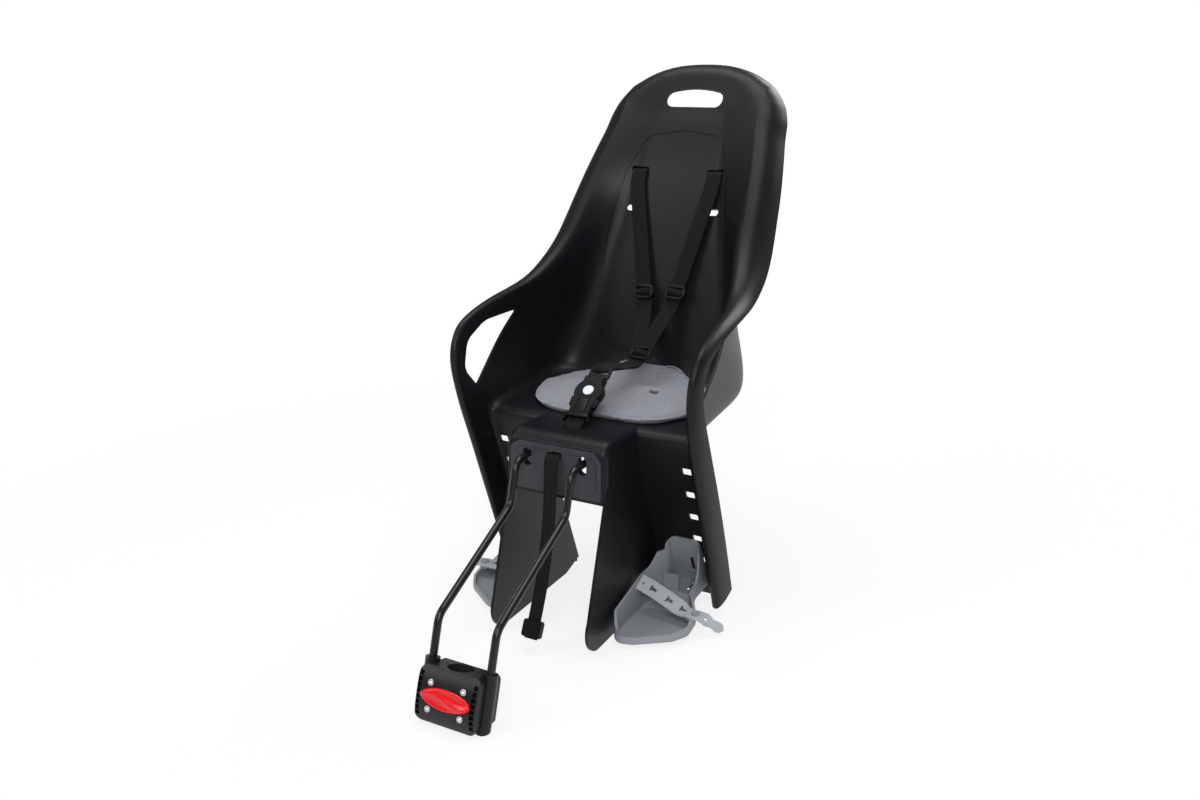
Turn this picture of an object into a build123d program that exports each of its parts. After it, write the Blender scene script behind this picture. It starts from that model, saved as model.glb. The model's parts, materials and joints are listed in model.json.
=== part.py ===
from build123d import *
import math
import os

# Child seat for a bicycle: a moulded bucket on a bent steel fork that plugs into a seat tube clamp.
# Millimetres. X runs across (the child's left is +X), Y to the rear, Z up.
# While modelling, Y = 0 is the front face of the fork plate and Z = 0 is the floor.

# Clearances
run_gap = 0.3
slip_gap = 0.05

# Moulded bucket: a sheet pulled along one draw direction, leaning back by back_lean
shell_wall = 4.0
back_lean = 35.0
crease_y = 305.0
crease_z = 288.0
pan_slope = -1.44
back_slope = 0.38
crease_blend = 28.0
thigh_blend = 34.0
leg_lean = 21.7
leg_y = 103.0
leg_z = 234.0
head_along = 395.0
head_rise = 126.0
head_power = 2.2
shell_bottom = 4.0
band_cut_z = 28.0
band_cut_x = 161.0

# Cross sections of the bucket, from the foot of the leg up to the head
# along, half width, crest inset, crest height, flange drop, floor half width, foot radius, crest radius
sections = [
    (-340, 194, 11, -67, 66, 158, 9, 8),
    (-272, 195, 12, 31, 66, 158, 9, 8),
    (-225, 195, 12, 100, 66, 157, 10, 9),
    (-180, 195, 13, 167, 62, 156, 10, 9),
    (-137, 195, 12, 229, 50, 156, 12, 8),
    (-92, 195, 10, 275, 26, 142, 26, 8),
    (-50, 196, 10, 284, 20, 134, 34, 8),
    (-20, 196, 11, 270, 20, 128, 40, 8),
    (22, 195, 14, 235, 20, 118, 46, 9),
    (60, 193, 18, 197, 22, 108, 44, 10),
    (95, 190, 24, 168, 28, 99, 40, 12),
    (147, 186, 32, 147, 38, 88, 39, 15),
    (187, 182, 36, 140, 42, 80, 40, 15),
    (225, 178, 36, 138, 42, 72, 40, 15),
    (300, 170, 36, 135, 40, 62, 41, 16),
    (395, 154, 36, 132, 38, 54, 42, 16),
]
# Height of the back along its centre line: along, height
spine = [(60, 24), (156, 60), (258, 95), (317, 112), (391, 121), (420, 123), (600, 123)]

# Openings of the bucket
upper_slot_along = 317.0
lower_slot_along = 258.0
slot_x = 63.7
slot_length = 30.0
slot_width = 10.0
handle_along = 427.0
handle_height = 31.0
handle_half = 38.0
handle_bulge = 10.0
groove_depth = 1.0
groove_width = 2.2
panel_bends = (60, 30, 28, 60, 60, 60, 24, 60, 24, 60, 60, 60, 28, 30)
peg_hole = 14.0
peg_hole_x = 150.0
peg_top_z = 230.0
peg_pitch = 43.0
peg_count = 5

# Nose and the guards beside the wheel
guard_out = 78.0
guard_wall = 4.0
nose_wall = 5.0
nose_front_wall = 10.0
nose_top_z = 290.5
nose_drop = 6.0
nose_rear_y = 150.0
nose_lip_y = 24.0
nose_round = 11.0
apron_z = 205.0

# Fork plate
plate_half = 71.0
plate_top_z = 278.0
plate_bottom_z = 209.0
plate_thick = 5.0
plate_corner = 18.0
plate_panel_inset = 8.0
plate_panel_rise = 1.2
fork_slot_width = 13.0
fork_slot_height = 27.0
strap_slot_width = 25.0
strap_slot_height = 9.0
strap_slot_z = 266.0

# Fork
rod_r = 5.25
rod_x = 43.0
rod_entry_z = 259.0
rod_rear_y = 150.0
tube_lean = 17.6

# Seat tube clamp
block_y = -243.6
block_z = 30.6
block_half = 44.0
block_height = 70.0
block_front_depth = 28.0
block_rear_depth = 28.0
block_edge_depth = 22.0
block_corner = 9.0
block_edge_round = 5.0
knee_rise = 90.8
block_split = 0.75
tube_r = 15.9
liner_wall = 2.0
collar_r = 9.5
collar_over = 4.0
bolt_x = 23.8
bolt_along = 16.5
bolt_r = 2.5
bolt_head_r = 4.25
bolt_head_h = 5.0
bolt_sink = 6.0
nut_flat = 8.0
nut_h = 4.0
nut_sink = 2.5
button_long = 73.0
button_short = 27.0
button_travel = 4.0
button_thick = 7.0
button_proud = 3.0
scoop_r = 30.0
scoop_depth = 2.6
scoop_x = 17.0
scoop_up = 4.0
rib_count = 8
rib_pocket = 6.0
rib_wall = 1.4

# Seat pad
pad_thick = 10.0
pad_slot_x = 45.0
pad_slot_along = -38.0
pad_slot_long = 17.0
pad_slot_wide = 4.0

# Harness
web_wide = 25.0
web_thick = 1.6
safety_wide = 20.0
tail_rise = 15.0
anchor_thick = 2.5
crotch_y = 50.0
slider_long = 36.0
slider_short = 23.0
slider_thick = 4.5
buckle_y = 96.0
buckle_z = 323.0
buckle_rise = 37.0
buckle_long = 64.0
buckle_wide = 44.0
buckle_thick = 13.0
press_r = 8.0
press_travel = 3.0
press_thick = 6.0
press_proud = 1.2
press_along = 6.0
tongue_wide = 26.0
tongue_thick = 3.2
tongue_bar = 50.0

# Footrests
tray_in = 84.5
tray_out = 180.0
tray_heel = 104.0
tray_back = 155.0
tray_wall = 3.5
tray_bottom = 5.0
tray_top = 109.0
tray_foot_round = 6.0
tray_top_round = 14.0
tray_gap = 0.6
heel_y = 104.0
heel_run = 34.0
heel_rise = 18.0
heel_rib_top = 52.0
strap_wide = 18.0
strap_thick = 2.5
strap_y = 87.0
strap_z = 55.0
stud_x = 178.5
stud_y = 84.0
stud_r = 3.0
shelf_z = 26.0

lean = math.radians(back_lean)
draw = Plane(
    origin=(0, crease_y, crease_z), x_dir=(1, 0, 0), z_dir=(0, -math.cos(lean), math.sin(lean))
)
pieces = {}


def keep(part, name):
    """Name a finished piece and hold it for writing."""
    part.label = name
    pieces[name] = part


def follow(table, column, along):
    """Smooth curve through one column of a table whose first column runs along the seat."""
    if along <= table[0][0]:
        return table[0][column]
    if along >= table[-1][0]:
        return table[-1][column]
    i = max(k for k in range(len(table) - 1) if table[k][0] <= along)
    a, b = table[i], table[i + 1]
    before, after = table[max(i - 1, 0)], table[min(i + 2, len(table) - 1)]
    span = b[0] - a[0]
    t = (along - a[0]) / span
    slope_a = span * (b[column] - before[column]) / (b[0] - before[0])
    slope_b = span * (after[column] - a[column]) / (after[0] - a[0])
    return (
        (2 * t**3 - 3 * t**2 + 1) * a[column]
        + (t**3 - 2 * t**2 + t) * slope_a
        + (3 * t**2 - 2 * t**3) * b[column]
        + (t**3 - t**2) * slope_b
    )


def leg_wall_y(z):
    """Front face of the leg's back wall."""
    return leg_y + (leg_z - z) * math.tan(math.radians(leg_lean))


def floor_height(along):
    """Back, seat pan and leg wall in one line, with soft corners between them."""
    back = follow(spine, 1, along)
    if along < spine[0][0]:
        back = spine[0][1] + back_slope * (along - spine[0][0])
    pan = pan_slope * along
    leg = draw.to_local_coords(Vector(0, leg_y, leg_z))
    wall = leg.Z + math.tan(math.radians(back_lean + leg_lean)) * (along - leg.Y)
    bucket = (back + pan + math.hypot(back - pan, crease_blend)) / 2
    return (bucket + wall - math.hypot(bucket - wall, thigh_blend)) / 2


def half_section(along):
    """Floor, foot arc, side wall, crest arc and rolled flange of one half, as (x, height) points."""
    width, inset, crest, drop, floor_x, foot, round_r = (follow(sections, k, along) for k in range(1, 8))
    crest_x = width - inset
    level = floor_height(along)
    dx = crest_x - floor_x
    dn = crest - round_r - level - foot
    tilt = math.atan2(dn, dx) + math.asin(min(0.99, (foot + round_r) / math.hypot(dx, dn)))
    points = [(floor_x * k / 4, level) for k in range(5)]
    for k in (1, 2, 3):
        a = tilt * k / 3
        points.append((floor_x + foot * math.sin(a), level + foot * (1 - math.cos(a))))
    low = points[-1]
    high = (crest_x - round_r * math.sin(tilt), crest - round_r * (1 - math.cos(tilt)))
    for k in (1, 2, 3):
        points.append((low[0] + (high[0] - low[0]) * k / 4, low[1] + (high[1] - low[1]) * k / 4))
    for k in (2, 1, 0):
        a = tilt * k / 2
        points.append((crest_x - round_r * math.sin(a), crest - round_r * (1 - math.cos(a))))
    end = math.radians(75)
    for k in (1, 2, 3, 4):
        a = end * k / 4
        out = inset * math.sin(a) / math.sin(end)
        down = drop * (1 - math.cos(a)) / (1 - math.cos(end))
        points.append((crest_x + out, crest - down))
    return points


def head_section(along):
    """The same rim carried round the top of the head on an ellipse."""
    side = half_section(head_along)
    width = side[-1][0]
    fall = 2.6
    points = []
    for x, _ in side:
        reach = math.hypot(x, along - head_along)
        up = (along - head_along) / head_rise
        share = ((x / width) ** head_power + up**head_power) ** (1 / head_power)
        across = width - (reach / share - reach)
        if across <= 0:
            level = side[0][1]
        elif across >= width:
            level = side[-1][1] - fall * (across - width)
        else:
            i = max(k for k in range(len(side) - 1) if side[k][0] <= across)
            a, b = side[i], side[i + 1]
            level = a[1] + (b[1] - a[1]) * (across - a[0]) / (b[0] - a[0])
        points.append((x, level))
    return points


def soften(line):
    """Round a run of points the way a spline rounds its control polygon."""
    inner = [(a + b * 4 + c) / 6 for a, b, c in zip(line, line[1:], line[2:])]
    return [line[0]] + inner + [line[-1]]


def relief_grid():
    """Points on the front face of the bucket, in the draw plane's own axes."""
    stops = [-340, -315, -290, -265, -240, -215, -190, -172, -157, -145, -135, -126, -117, -107]
    stops += [-96 + 12 * k for k in range(13)]
    stops += [62, 76, 95, 120, 147, 175, 200, 225, 260, 300, 335, 365, head_along]
    grid = []
    for along in stops + [head_along + 9 * k for k in range(1, 17)]:
        half = half_section(along) if along <= head_along else head_section(along)
        row = [(-x, n) for x, n in half[:0:-1]] + half
        grid.append([Vector(x, along, n) for x, n in row])
    grid = [soften(row) for row in grid]
    return [list(row) for row in zip(*[soften(list(column)) for column in zip(*grid)])]


def relief_skin(grid, lift):
    """One smooth face at a set distance in front of the bucket's front face."""
    rows, columns = len(grid), len(grid[0])
    steps = [k / (columns - 1) for k in range(columns)]
    wires = []
    for i, row in enumerate(grid):
        points = []
        for j, point in enumerate(row):
            along = grid[min(i + 1, rows - 1)][j] - grid[max(i - 1, 0)][j]
            across = row[min(j + 1, columns - 1)] - row[max(j - 1, 0)]
            points.append(draw.from_local_coords(point + across.cross(along).normalized() * lift))
        wires.append(Wire([Edge.make_spline(points, parameters=steps)]))
    return Shell.make_loft(wires).face()


def relief(lift_back, lift_front):
    """Sheet that follows the bucket, between two distances from its front face."""
    grid = relief_grid()
    back = relief_skin(grid, lift_back)
    front = relief_skin(grid, lift_front)
    rims = []
    for edge in front.edges():
        other = min(back.edges(), key=lambda e: (e.center() - edge.center()).length)
        rims.append(Face.make_surface_from_curves(edge, other))
    return Solid(Shell([front, back] + rims))


def side_plane(x=0.0):
    """Plane whose own axes are Y and Z."""
    return Plane(origin=(x, 0, 0), x_dir=(0, 1, 0), z_dir=(1, 0, 0))


def front_plane(y=0.0):
    """Plane whose own axes are X and Z, facing the front."""
    return Plane(origin=(0, y, 0), x_dir=(1, 0, 0), z_dir=(0, -1, 0))


def wall_plane(x, z):
    """Plane lying on the leg's back wall, facing the front."""
    tilt = math.radians(leg_lean)
    return Plane(
        origin=(x, leg_wall_y(z), z), x_dir=(1, 0, 0), z_dir=(0, -math.cos(tilt), -math.sin(tilt))
    )


def ribbon(points, bend, wide, thick, across):
    """Flat webbing along straight runs joined by arcs."""
    with BuildPart() as web:
        with BuildLine() as path:
            FilletPolyline(*points, radius=bend)
        start = Plane(origin=path.line @ 0, x_dir=across, z_dir=path.line % 0)
        with BuildSketch(start):
            Rectangle(wide, thick)
        sweep(path=path.line)
    return web.part


def nose_line(y):
    """Top of the nose, falling a little to the rear."""
    return nose_top_z - nose_drop * (y - nose_lip_y) / (nose_rear_y - nose_lip_y)


# Seat shell, the one-piece bucket with its nose and wheel guards
with BuildPart() as nose:
    with BuildSketch(side_plane()):
        with BuildLine():
            Polyline((nose_rear_y, nose_line(nose_rear_y)), (nose_lip_y, nose_top_z))
            RadiusArc((nose_lip_y, nose_top_z), (0, nose_top_z - nose_lip_y), -nose_lip_y)
            Polyline((0, nose_top_z - nose_lip_y), (0, apron_z), (-47, 51))
            ThreePointArc((-47, 51), (-50, 22), (-22, 0))
            Polyline(
                (-22, 0),
                (158, 0),
                (leg_wall_y(shell_bottom) + shell_wall + 1, shell_bottom + 8),
                (leg_wall_y(apron_z) + shell_wall + 1, apron_z),
                (nose_rear_y, nose_line(nose_rear_y) - 20),
                (nose_rear_y, nose_line(nose_rear_y)),
            )
        make_face()
    extrude(amount=guard_out, both=True)
    outer = nose.edges().filter_by(lambda e: abs(abs(e.center().X) - guard_out) < 0.1)
    outer = outer.filter_by(lambda e: e.center().Z > apron_z + 10 and e.center().Y < 100)
    fillet(outer, nose_round)

# Groove that outlines the back panel
half_panel = [(0, 40), (76, 41), (107, 66), (108, 130), (100, 225), (86, 310), (63, 376), (0, 386)]
with BuildPart() as panel_groove:
    add(relief(-groove_depth, 6))
    with BuildSketch(draw.offset(-300)):
        with BuildLine():
            FilletPolyline(
                *half_panel, *[(-x, s) for x, s in half_panel[-2:0:-1]], radius=panel_bends, close=True
            )
        make_face()
        offset(amount=-groove_width, mode=Mode.SUBTRACT)
    extrude(amount=800, mode=Mode.INTERSECT)

with BuildPart() as seat_shell:
    add(relief(-shell_wall, 0))
    rim_height = half_section(head_along)[-1][1]
    with BuildSketch(Plane(origin=draw.origin, x_dir=draw.y_dir, z_dir=draw.x_dir)):
        with BuildLine():
            Polyline(
                (head_along - 30, rim_height - 1.8),
                (head_along + 205, rim_height + 12.3),
                (head_along + 205, -400),
                (head_along - 30, -400),
                close=True,
            )
        make_face()
    extrude(amount=300, both=True, mode=Mode.SUBTRACT)
    with BuildSketch(Plane.XY.offset(shell_bottom)):
        Rectangle(1200, 1400)
    extrude(amount=-300, mode=Mode.SUBTRACT)
    # Heel of each leg rim, cut away at a slant
    for side in (-1, 1):
        with BuildSketch(side_plane(side * band_cut_x)):
            with BuildLine():
                Polyline(
                    (140, -5), (152, shell_bottom), (190, band_cut_z),
                    (280, band_cut_z), (280, -5), close=True,
                )
            make_face()
        extrude(amount=side * 80, mode=Mode.SUBTRACT)
    with BuildSketch(draw.offset(-300)):
        with Locations((0, -140)):
            Rectangle(2 * guard_out - 3, 300, align=(Align.CENTER, Align.MAX))
    extrude(amount=800, mode=Mode.SUBTRACT)
    add(nose.part)
    # Wheel gap under the nose
    with BuildSketch(side_plane()):
        with BuildLine():
            Polyline(
                (-120, -20),
                (-120, apron_z),
                (nose_front_wall, apron_z),
                (nose_front_wall, nose_top_z - nose_front_wall - 4),
                (nose_front_wall + 7, nose_line(nose_front_wall + 7) - nose_wall),
                (220, nose_line(220) - nose_wall),
                (220, -20),
                close=True,
            )
        make_face()
    extrude(amount=guard_out - guard_wall, both=True, mode=Mode.SUBTRACT)
    # Recess for the fork plate
    with BuildSketch(front_plane(plate_thick)):
        with BuildLine():
            FilletPolyline(
                (-plate_half - run_gap, plate_bottom_z - run_gap),
                (-plate_half - run_gap, plate_top_z + run_gap),
                (plate_half + run_gap, plate_top_z + run_gap),
                (plate_half + run_gap, plate_bottom_z - run_gap),
                radius=(4, plate_corner, plate_corner, 4),
                close=True,
            )
        make_face()
    extrude(amount=plate_thick + 10, mode=Mode.SUBTRACT)
    # Openings beside the arms
    with BuildSketch(side_plane()):
        with BuildLine():
            FilletPolyline(
                (181, 416),
                (102, 413),
                (58, 392),
                (46, 352),
                (72, 322),
                radius=(3, 60, 26, 22, 5),
                close=True,
            )
        make_face()
    extrude(amount=260, both=True, mode=Mode.SUBTRACT)
    add(panel_groove.part, mode=Mode.SUBTRACT)
    # Harness slots and carrying handle
    with BuildSketch(draw.offset(-100)):
        with Locations((-slot_x, upper_slot_along), (slot_x, upper_slot_along)):
            SlotOverall(slot_length, slot_width)
        with Locations((-slot_x, lower_slot_along), (slot_x, lower_slot_along)):
            SlotOverall(slot_length, slot_width)
        with BuildLine():
            low, high = handle_along, handle_along + handle_height
            Line((-handle_half, low), (handle_half, low))
            ThreePointArc(
                (handle_half, low),
                (handle_half + handle_bulge, (low + high) / 2 - 2),
                (handle_half, high - 5),
            )
            ThreePointArc((handle_half, high - 5), (0, high), (-handle_half, high - 5))
            ThreePointArc(
                (-handle_half, high - 5),
                (-handle_half - handle_bulge, (low + high) / 2 - 2),
                (-handle_half, low),
            )
        make_face()
    extrude(amount=400, mode=Mode.SUBTRACT)
    # Square peg holes down each leg
    for side in (-1, 1):
        for k in range(peg_count):
            peg_z = peg_top_z - k * peg_pitch * math.cos(math.radians(leg_lean))
            with BuildSketch(wall_plane(side * peg_hole_x, peg_z)):
                RectangleRounded(peg_hole, peg_hole, 2)
            extrude(amount=12, both=True, mode=Mode.SUBTRACT)
    # Rod slots and strap slot through the nose front
    with BuildSketch(front_plane(nose_front_wall + 5)):
        with Locations((-rod_x, rod_entry_z - 2), (rod_x, rod_entry_z - 2)):
            SlotOverall(fork_slot_height, fork_slot_width, rotation=90)
        with Locations((0, strap_slot_z)):
            SlotOverall(strap_slot_width, strap_slot_height)
    extrude(amount=30, mode=Mode.SUBTRACT)
    # Crotch strap slot through the nose top
    with BuildSketch(Plane.XY.offset(nose_top_z + 20)):
        with Locations((0, crotch_y)):
            SlotOverall(slot_length, slot_width)
    extrude(amount=-50, mode=Mode.SUBTRACT)
keep(seat_shell.part, "seat_shell")

# Fork plate
with BuildPart() as fork_plate:
    with BuildSketch(front_plane(plate_thick - slip_gap)):
        with BuildLine():
            FilletPolyline(
                (-plate_half, plate_bottom_z),
                (-plate_half, plate_top_z),
                (plate_half, plate_top_z),
                (plate_half, plate_bottom_z),
                radius=(4, plate_corner, plate_corner, 4),
                close=True,
            )
        make_face()
    extrude(amount=plate_thick - slip_gap)
    with BuildSketch(front_plane(0)):
        with BuildLine():
            FilletPolyline(
                (-plate_half + plate_panel_inset, plate_bottom_z + plate_panel_inset),
                (-plate_half + plate_panel_inset, plate_top_z - plate_panel_inset),
                (plate_half - plate_panel_inset, plate_top_z - plate_panel_inset),
                (plate_half - plate_panel_inset, plate_bottom_z + plate_panel_inset),
                radius=plate_corner - plate_panel_inset,
                close=True,
            )
        make_face()
    extrude(amount=plate_panel_rise)
    with BuildSketch(front_plane(plate_thick + 5)):
        with Locations((-rod_x, rod_entry_z - 2), (rod_x, rod_entry_z - 2)):
            SlotOverall(fork_slot_height, fork_slot_width, rotation=90)
        with Locations((0, strap_slot_z)):
            SlotOverall(strap_slot_width, strap_slot_height)
    extrude(amount=30, mode=Mode.SUBTRACT)
keep(fork_plate.part, "fork_plate")

# Fork, one bent rod with both legs ending in the clamp
tube_tilt = math.radians(tube_lean)
up_tube = Vector(0, math.sin(tube_tilt), math.cos(tube_tilt))
block = Plane(
    origin=(0, block_y, block_z), x_dir=(1, 0, 0), z_dir=(0, -math.cos(tube_tilt), math.sin(tube_tilt))
)
rod_end = block.origin - up_tube * (block_height / 2 - 6)
rod_knee = block.origin + up_tube * knee_rise
rod_run = [(rod_end.Y, rod_end.Z), (rod_knee.Y, rod_knee.Z), (-46, 201), (-30, rod_entry_z)]
rod_run.append((rod_rear_y, rod_entry_z))
with BuildPart() as carrier_fork:
    with BuildLine() as rod_path:
        FilletPolyline(
            [(rod_x, y, z) for y, z in rod_run] + [(-rod_x, y, z) for y, z in rod_run[::-1]],
            radius=(24, 24, 18, rod_x - 4, rod_x - 4, 18, 24, 24),
        )
    with BuildSketch(Plane(origin=rod_path.line @ 0, z_dir=rod_path.line % 0)):
        Circle(rod_r)
    sweep(path=rod_path.line)
keep(carrier_fork.part, "carrier_fork")

# Saddle and clamp that hold the fork under the nose
saddle_front = 66.0
saddle_rear = 106.0
saddle_half = 66.0
clamp_plate = 3.0
screw_bite = 12.0
clamp_holes = [(x, (saddle_front + saddle_rear) / 2) for x in (-58, -24, 24, 58)]
with BuildPart() as fork_saddle:
    with BuildSketch(side_plane()):
        with BuildLine():
            Polyline(
                (saddle_front, rod_entry_z + 1),
                (saddle_rear, rod_entry_z + 1),
                (saddle_rear, nose_line(saddle_rear) - nose_wall - slip_gap),
                (saddle_front, nose_line(saddle_front) - nose_wall - slip_gap),
                close=True,
            )
        make_face()
    extrude(amount=saddle_half, both=True)
    with BuildSketch(front_plane()):
        with Locations((-rod_x, rod_entry_z), (rod_x, rod_entry_z)):
            Circle(rod_r + slip_gap)
    extrude(amount=-rod_rear_y, mode=Mode.SUBTRACT)
    with BuildSketch(Plane.XY.offset(rod_entry_z)):
        with Locations(*clamp_holes):
            Circle(bolt_r + slip_gap)
    extrude(amount=screw_bite, mode=Mode.SUBTRACT)
keep(fork_saddle.part, "fork_saddle")
with BuildPart() as fork_clamp:
    with BuildSketch(side_plane()):
        with Locations(((saddle_front + saddle_rear) / 2, rod_entry_z - 1)):
            Rectangle(saddle_rear - saddle_front - 6, rod_r + clamp_plate, align=(Align.CENTER, Align.MAX))
    extrude(amount=saddle_half, both=True)
    with BuildSketch(front_plane()):
        with Locations((-rod_x, rod_entry_z), (rod_x, rod_entry_z)):
            Circle(rod_r + slip_gap)
    extrude(amount=-rod_rear_y, mode=Mode.SUBTRACT)
    with BuildSketch(Plane.XY.offset(rod_entry_z)):
        with Locations(*clamp_holes):
            Circle(bolt_r + run_gap)
    extrude(amount=-30, mode=Mode.SUBTRACT)
keep(fork_clamp.part, "fork_clamp")


def socket_screw(plane, length):
    """Socket head screw whose head seats on the plane and whose shank runs down from it."""
    with BuildPart() as screw:
        with BuildSketch(plane):
            Circle(bolt_head_r)
        extrude(amount=bolt_head_h)
        fillet(screw.edges().group_by(Axis(plane.origin, plane.z_dir))[-1], 0.6)
        with BuildSketch(plane.offset(bolt_head_h)):
            RegularPolygon(2.3, 6)
        extrude(amount=-3, mode=Mode.SUBTRACT)
        with BuildSketch(plane):
            Circle(bolt_r)
        extrude(amount=-length)
    return screw.part


clamp_floor = rod_entry_z - 1 - rod_r - clamp_plate
with BuildPart() as fork_screws:
    for x, y in clamp_holes:
        under = Plane(origin=(x, y, clamp_floor), x_dir=(1, 0, 0), z_dir=(0, 0, -1))
        add(socket_screw(under, screw_bite + rod_r))
keep(fork_screws.part, "fork_screws")


def block_half_solid(front):
    """One half of the clamp: a rounded slab whose outer face is bowed along the tube."""
    sign = 1 if front else -1
    deep = block_front_depth if front else block_rear_depth
    reach = block_height / 2
    with BuildPart() as half:
        with BuildSketch(block.offset(sign * block_split)):
            RectangleRounded(2 * block_half, block_height, block_corner)
        extrude(amount=sign * (deep - block_split))
        outer_face = half.faces().sort_by(Axis(block.origin, block.z_dir))[-1 if front else 0]
        fillet(outer_face.edges(), block_edge_round)
        with BuildSketch(Plane(origin=block.origin, x_dir=block.y_dir, z_dir=block.x_dir)) as profile:
            with BuildLine():
                edge = sign * block_edge_depth
                Polyline((reach, edge), (reach, 0), (-reach, 0), (-reach, edge))
                ThreePointArc((-reach, edge), (0, sign * deep), (reach, edge))
            make_face()
            bow_ends = profile.vertices().filter_by(lambda v: abs(abs(v.Y) - block_edge_depth) < 0.1)
            fillet(bow_ends, block_edge_round)
        extrude(amount=block_half + 1, both=True, mode=Mode.INTERSECT)
    return half.part


# Everything under the floor, which trims the slanting clamp level
with BuildPart() as below_floor:
    with BuildSketch(Plane.XY):
        Rectangle(2000, 2000)
    extrude(amount=-100)

# Seat tube clamp, front half
with BuildPart() as block_front:
    add(block_half_solid(True))
    rib_pitch = (block_height - 14) / rib_count
    for side in (-1, 1):
        with BuildSketch(block.offset(block_front_depth + 1)):
            for k in range(rib_count):
                rib_x = block_half - rib_wall - rib_pocket / 2
                with Locations((side * rib_x, (k - (rib_count - 1) / 2) * rib_pitch)):
                    Rectangle(rib_pocket, rib_pitch - rib_wall)
        extrude(amount=-9, mode=Mode.SUBTRACT)
    with BuildSketch(Plane(origin=block.origin, x_dir=block.x_dir, z_dir=block.y_dir)):
        Circle(tube_r + liner_wall)
        with Locations((-rod_x, 0), (rod_x, 0)):
            Circle(collar_r + run_gap)
    extrude(amount=block_height, both=True, mode=Mode.SUBTRACT)
    with BuildSketch(block.offset(block_front_depth)):
        Ellipse(button_long / 2, button_short / 2)
    extrude(amount=-button_thick - button_travel + button_proud - run_gap, mode=Mode.SUBTRACT)
    with BuildSketch(block.offset(block_front_depth)):
        with GridLocations(2 * bolt_x, 2 * bolt_along, 2, 2):
            Circle(bolt_head_r + run_gap)
    extrude(amount=-bolt_sink, mode=Mode.SUBTRACT)
    with BuildSketch(block.offset(block_front_depth)):
        with GridLocations(2 * bolt_x, 2 * bolt_along, 2, 2):
            Circle(bolt_r + slip_gap)
    extrude(amount=-block_front_depth, mode=Mode.SUBTRACT)
    add(below_floor.part, mode=Mode.SUBTRACT)
keep(block_front.part, "block_front")

# Seat tube clamp, rear half with the rod sockets
with BuildPart() as block_rear:
    add(block_half_solid(False))
    with BuildSketch(Plane(origin=block.origin, x_dir=block.x_dir, z_dir=block.y_dir)):
        with Locations((-rod_x, 0), (rod_x, 0)):
            Circle(collar_r)
    extrude(amount=block_height / 2 + collar_over, both=True)
    with BuildSketch(Plane(origin=block.origin, x_dir=block.x_dir, z_dir=block.y_dir)):
        Circle(tube_r + liner_wall)
    extrude(amount=block_height, both=True, mode=Mode.SUBTRACT)
    with BuildSketch(Plane(origin=rod_end - up_tube * slip_gap, x_dir=block.x_dir, z_dir=block.y_dir)):
        with Locations((-rod_x, 0), (rod_x, 0)):
            Circle(rod_r + slip_gap)
    extrude(amount=2 * block_height, mode=Mode.SUBTRACT)
    with BuildSketch(block):
        with GridLocations(2 * bolt_x, 2 * bolt_along, 2, 2):
            Circle(bolt_r + slip_gap)
    extrude(amount=-2 * block_rear_depth, mode=Mode.SUBTRACT)
    with BuildSketch(block.offset(-block_rear_depth)):
        with GridLocations(2 * bolt_x, 2 * bolt_along, 2, 2):
            RegularPolygon(nut_flat / 2 + slip_gap, 6, major_radius=False)
    extrude(amount=nut_h + nut_sink, mode=Mode.SUBTRACT)
    add(below_floor.part, mode=Mode.SUBTRACT)
keep(block_rear.part, "block_rear")

# Bolts and nuts of the clamp
bolt_seat = block.offset(block_front_depth - bolt_sink)
bolt_length = block_front_depth - bolt_sink + block_rear_depth - nut_sink
with BuildPart() as block_bolts:
    for x in (-bolt_x, bolt_x):
        for along in (-bolt_along, bolt_along):
            seat = Plane(
                origin=bolt_seat.from_local_coords(Vector(x, along, 0)), x_dir=block.x_dir, z_dir=block.z_dir
            )
            add(socket_screw(seat, bolt_length))
keep(block_bolts.part, "block_bolts")
with BuildPart() as block_nuts:
    with BuildSketch(block.offset(-block_rear_depth + nut_sink)):
        with GridLocations(2 * bolt_x, 2 * bolt_along, 2, 2):
            RegularPolygon(nut_flat / 2, 6, major_radius=False)
            Circle(bolt_r + slip_gap, mode=Mode.SUBTRACT)
    extrude(amount=nut_h)
keep(block_nuts.part, "block_nuts")

# Rubber liner of the seat tube bore, in two halves
with BuildPart() as tube_liner:
    with BuildSketch(Plane(origin=block.origin, x_dir=block.x_dir, z_dir=block.y_dir)):
        Circle(tube_r + liner_wall - slip_gap)
        Circle(tube_r, mode=Mode.SUBTRACT)
        Rectangle(4 * tube_r, 2 * block_split, mode=Mode.SUBTRACT)
    extrude(amount=block_height / 2, both=True)
    add(below_floor.part, mode=Mode.SUBTRACT)
keep(tube_liner.part, "tube_liner")

# Release button with its scooped grip
with BuildPart() as release_button:
    with BuildSketch(block.offset(block_front_depth + button_proud)):
        Ellipse(button_long / 2 - run_gap, button_short / 2 - run_gap)
    extrude(amount=-button_thick)
    fillet(release_button.faces().sort_by(Axis(block.origin, block.z_dir))[-1].edges(), 1.5)
    for side in (-1, 1):
        grip = block.offset(block_front_depth + button_proud + scoop_r - scoop_depth).from_local_coords(
            Vector(side * scoop_x, side * scoop_up, 0)
        )
        with Locations(grip):
            Sphere(scoop_r, mode=Mode.SUBTRACT)
keep(release_button.part, "release_button")

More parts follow.
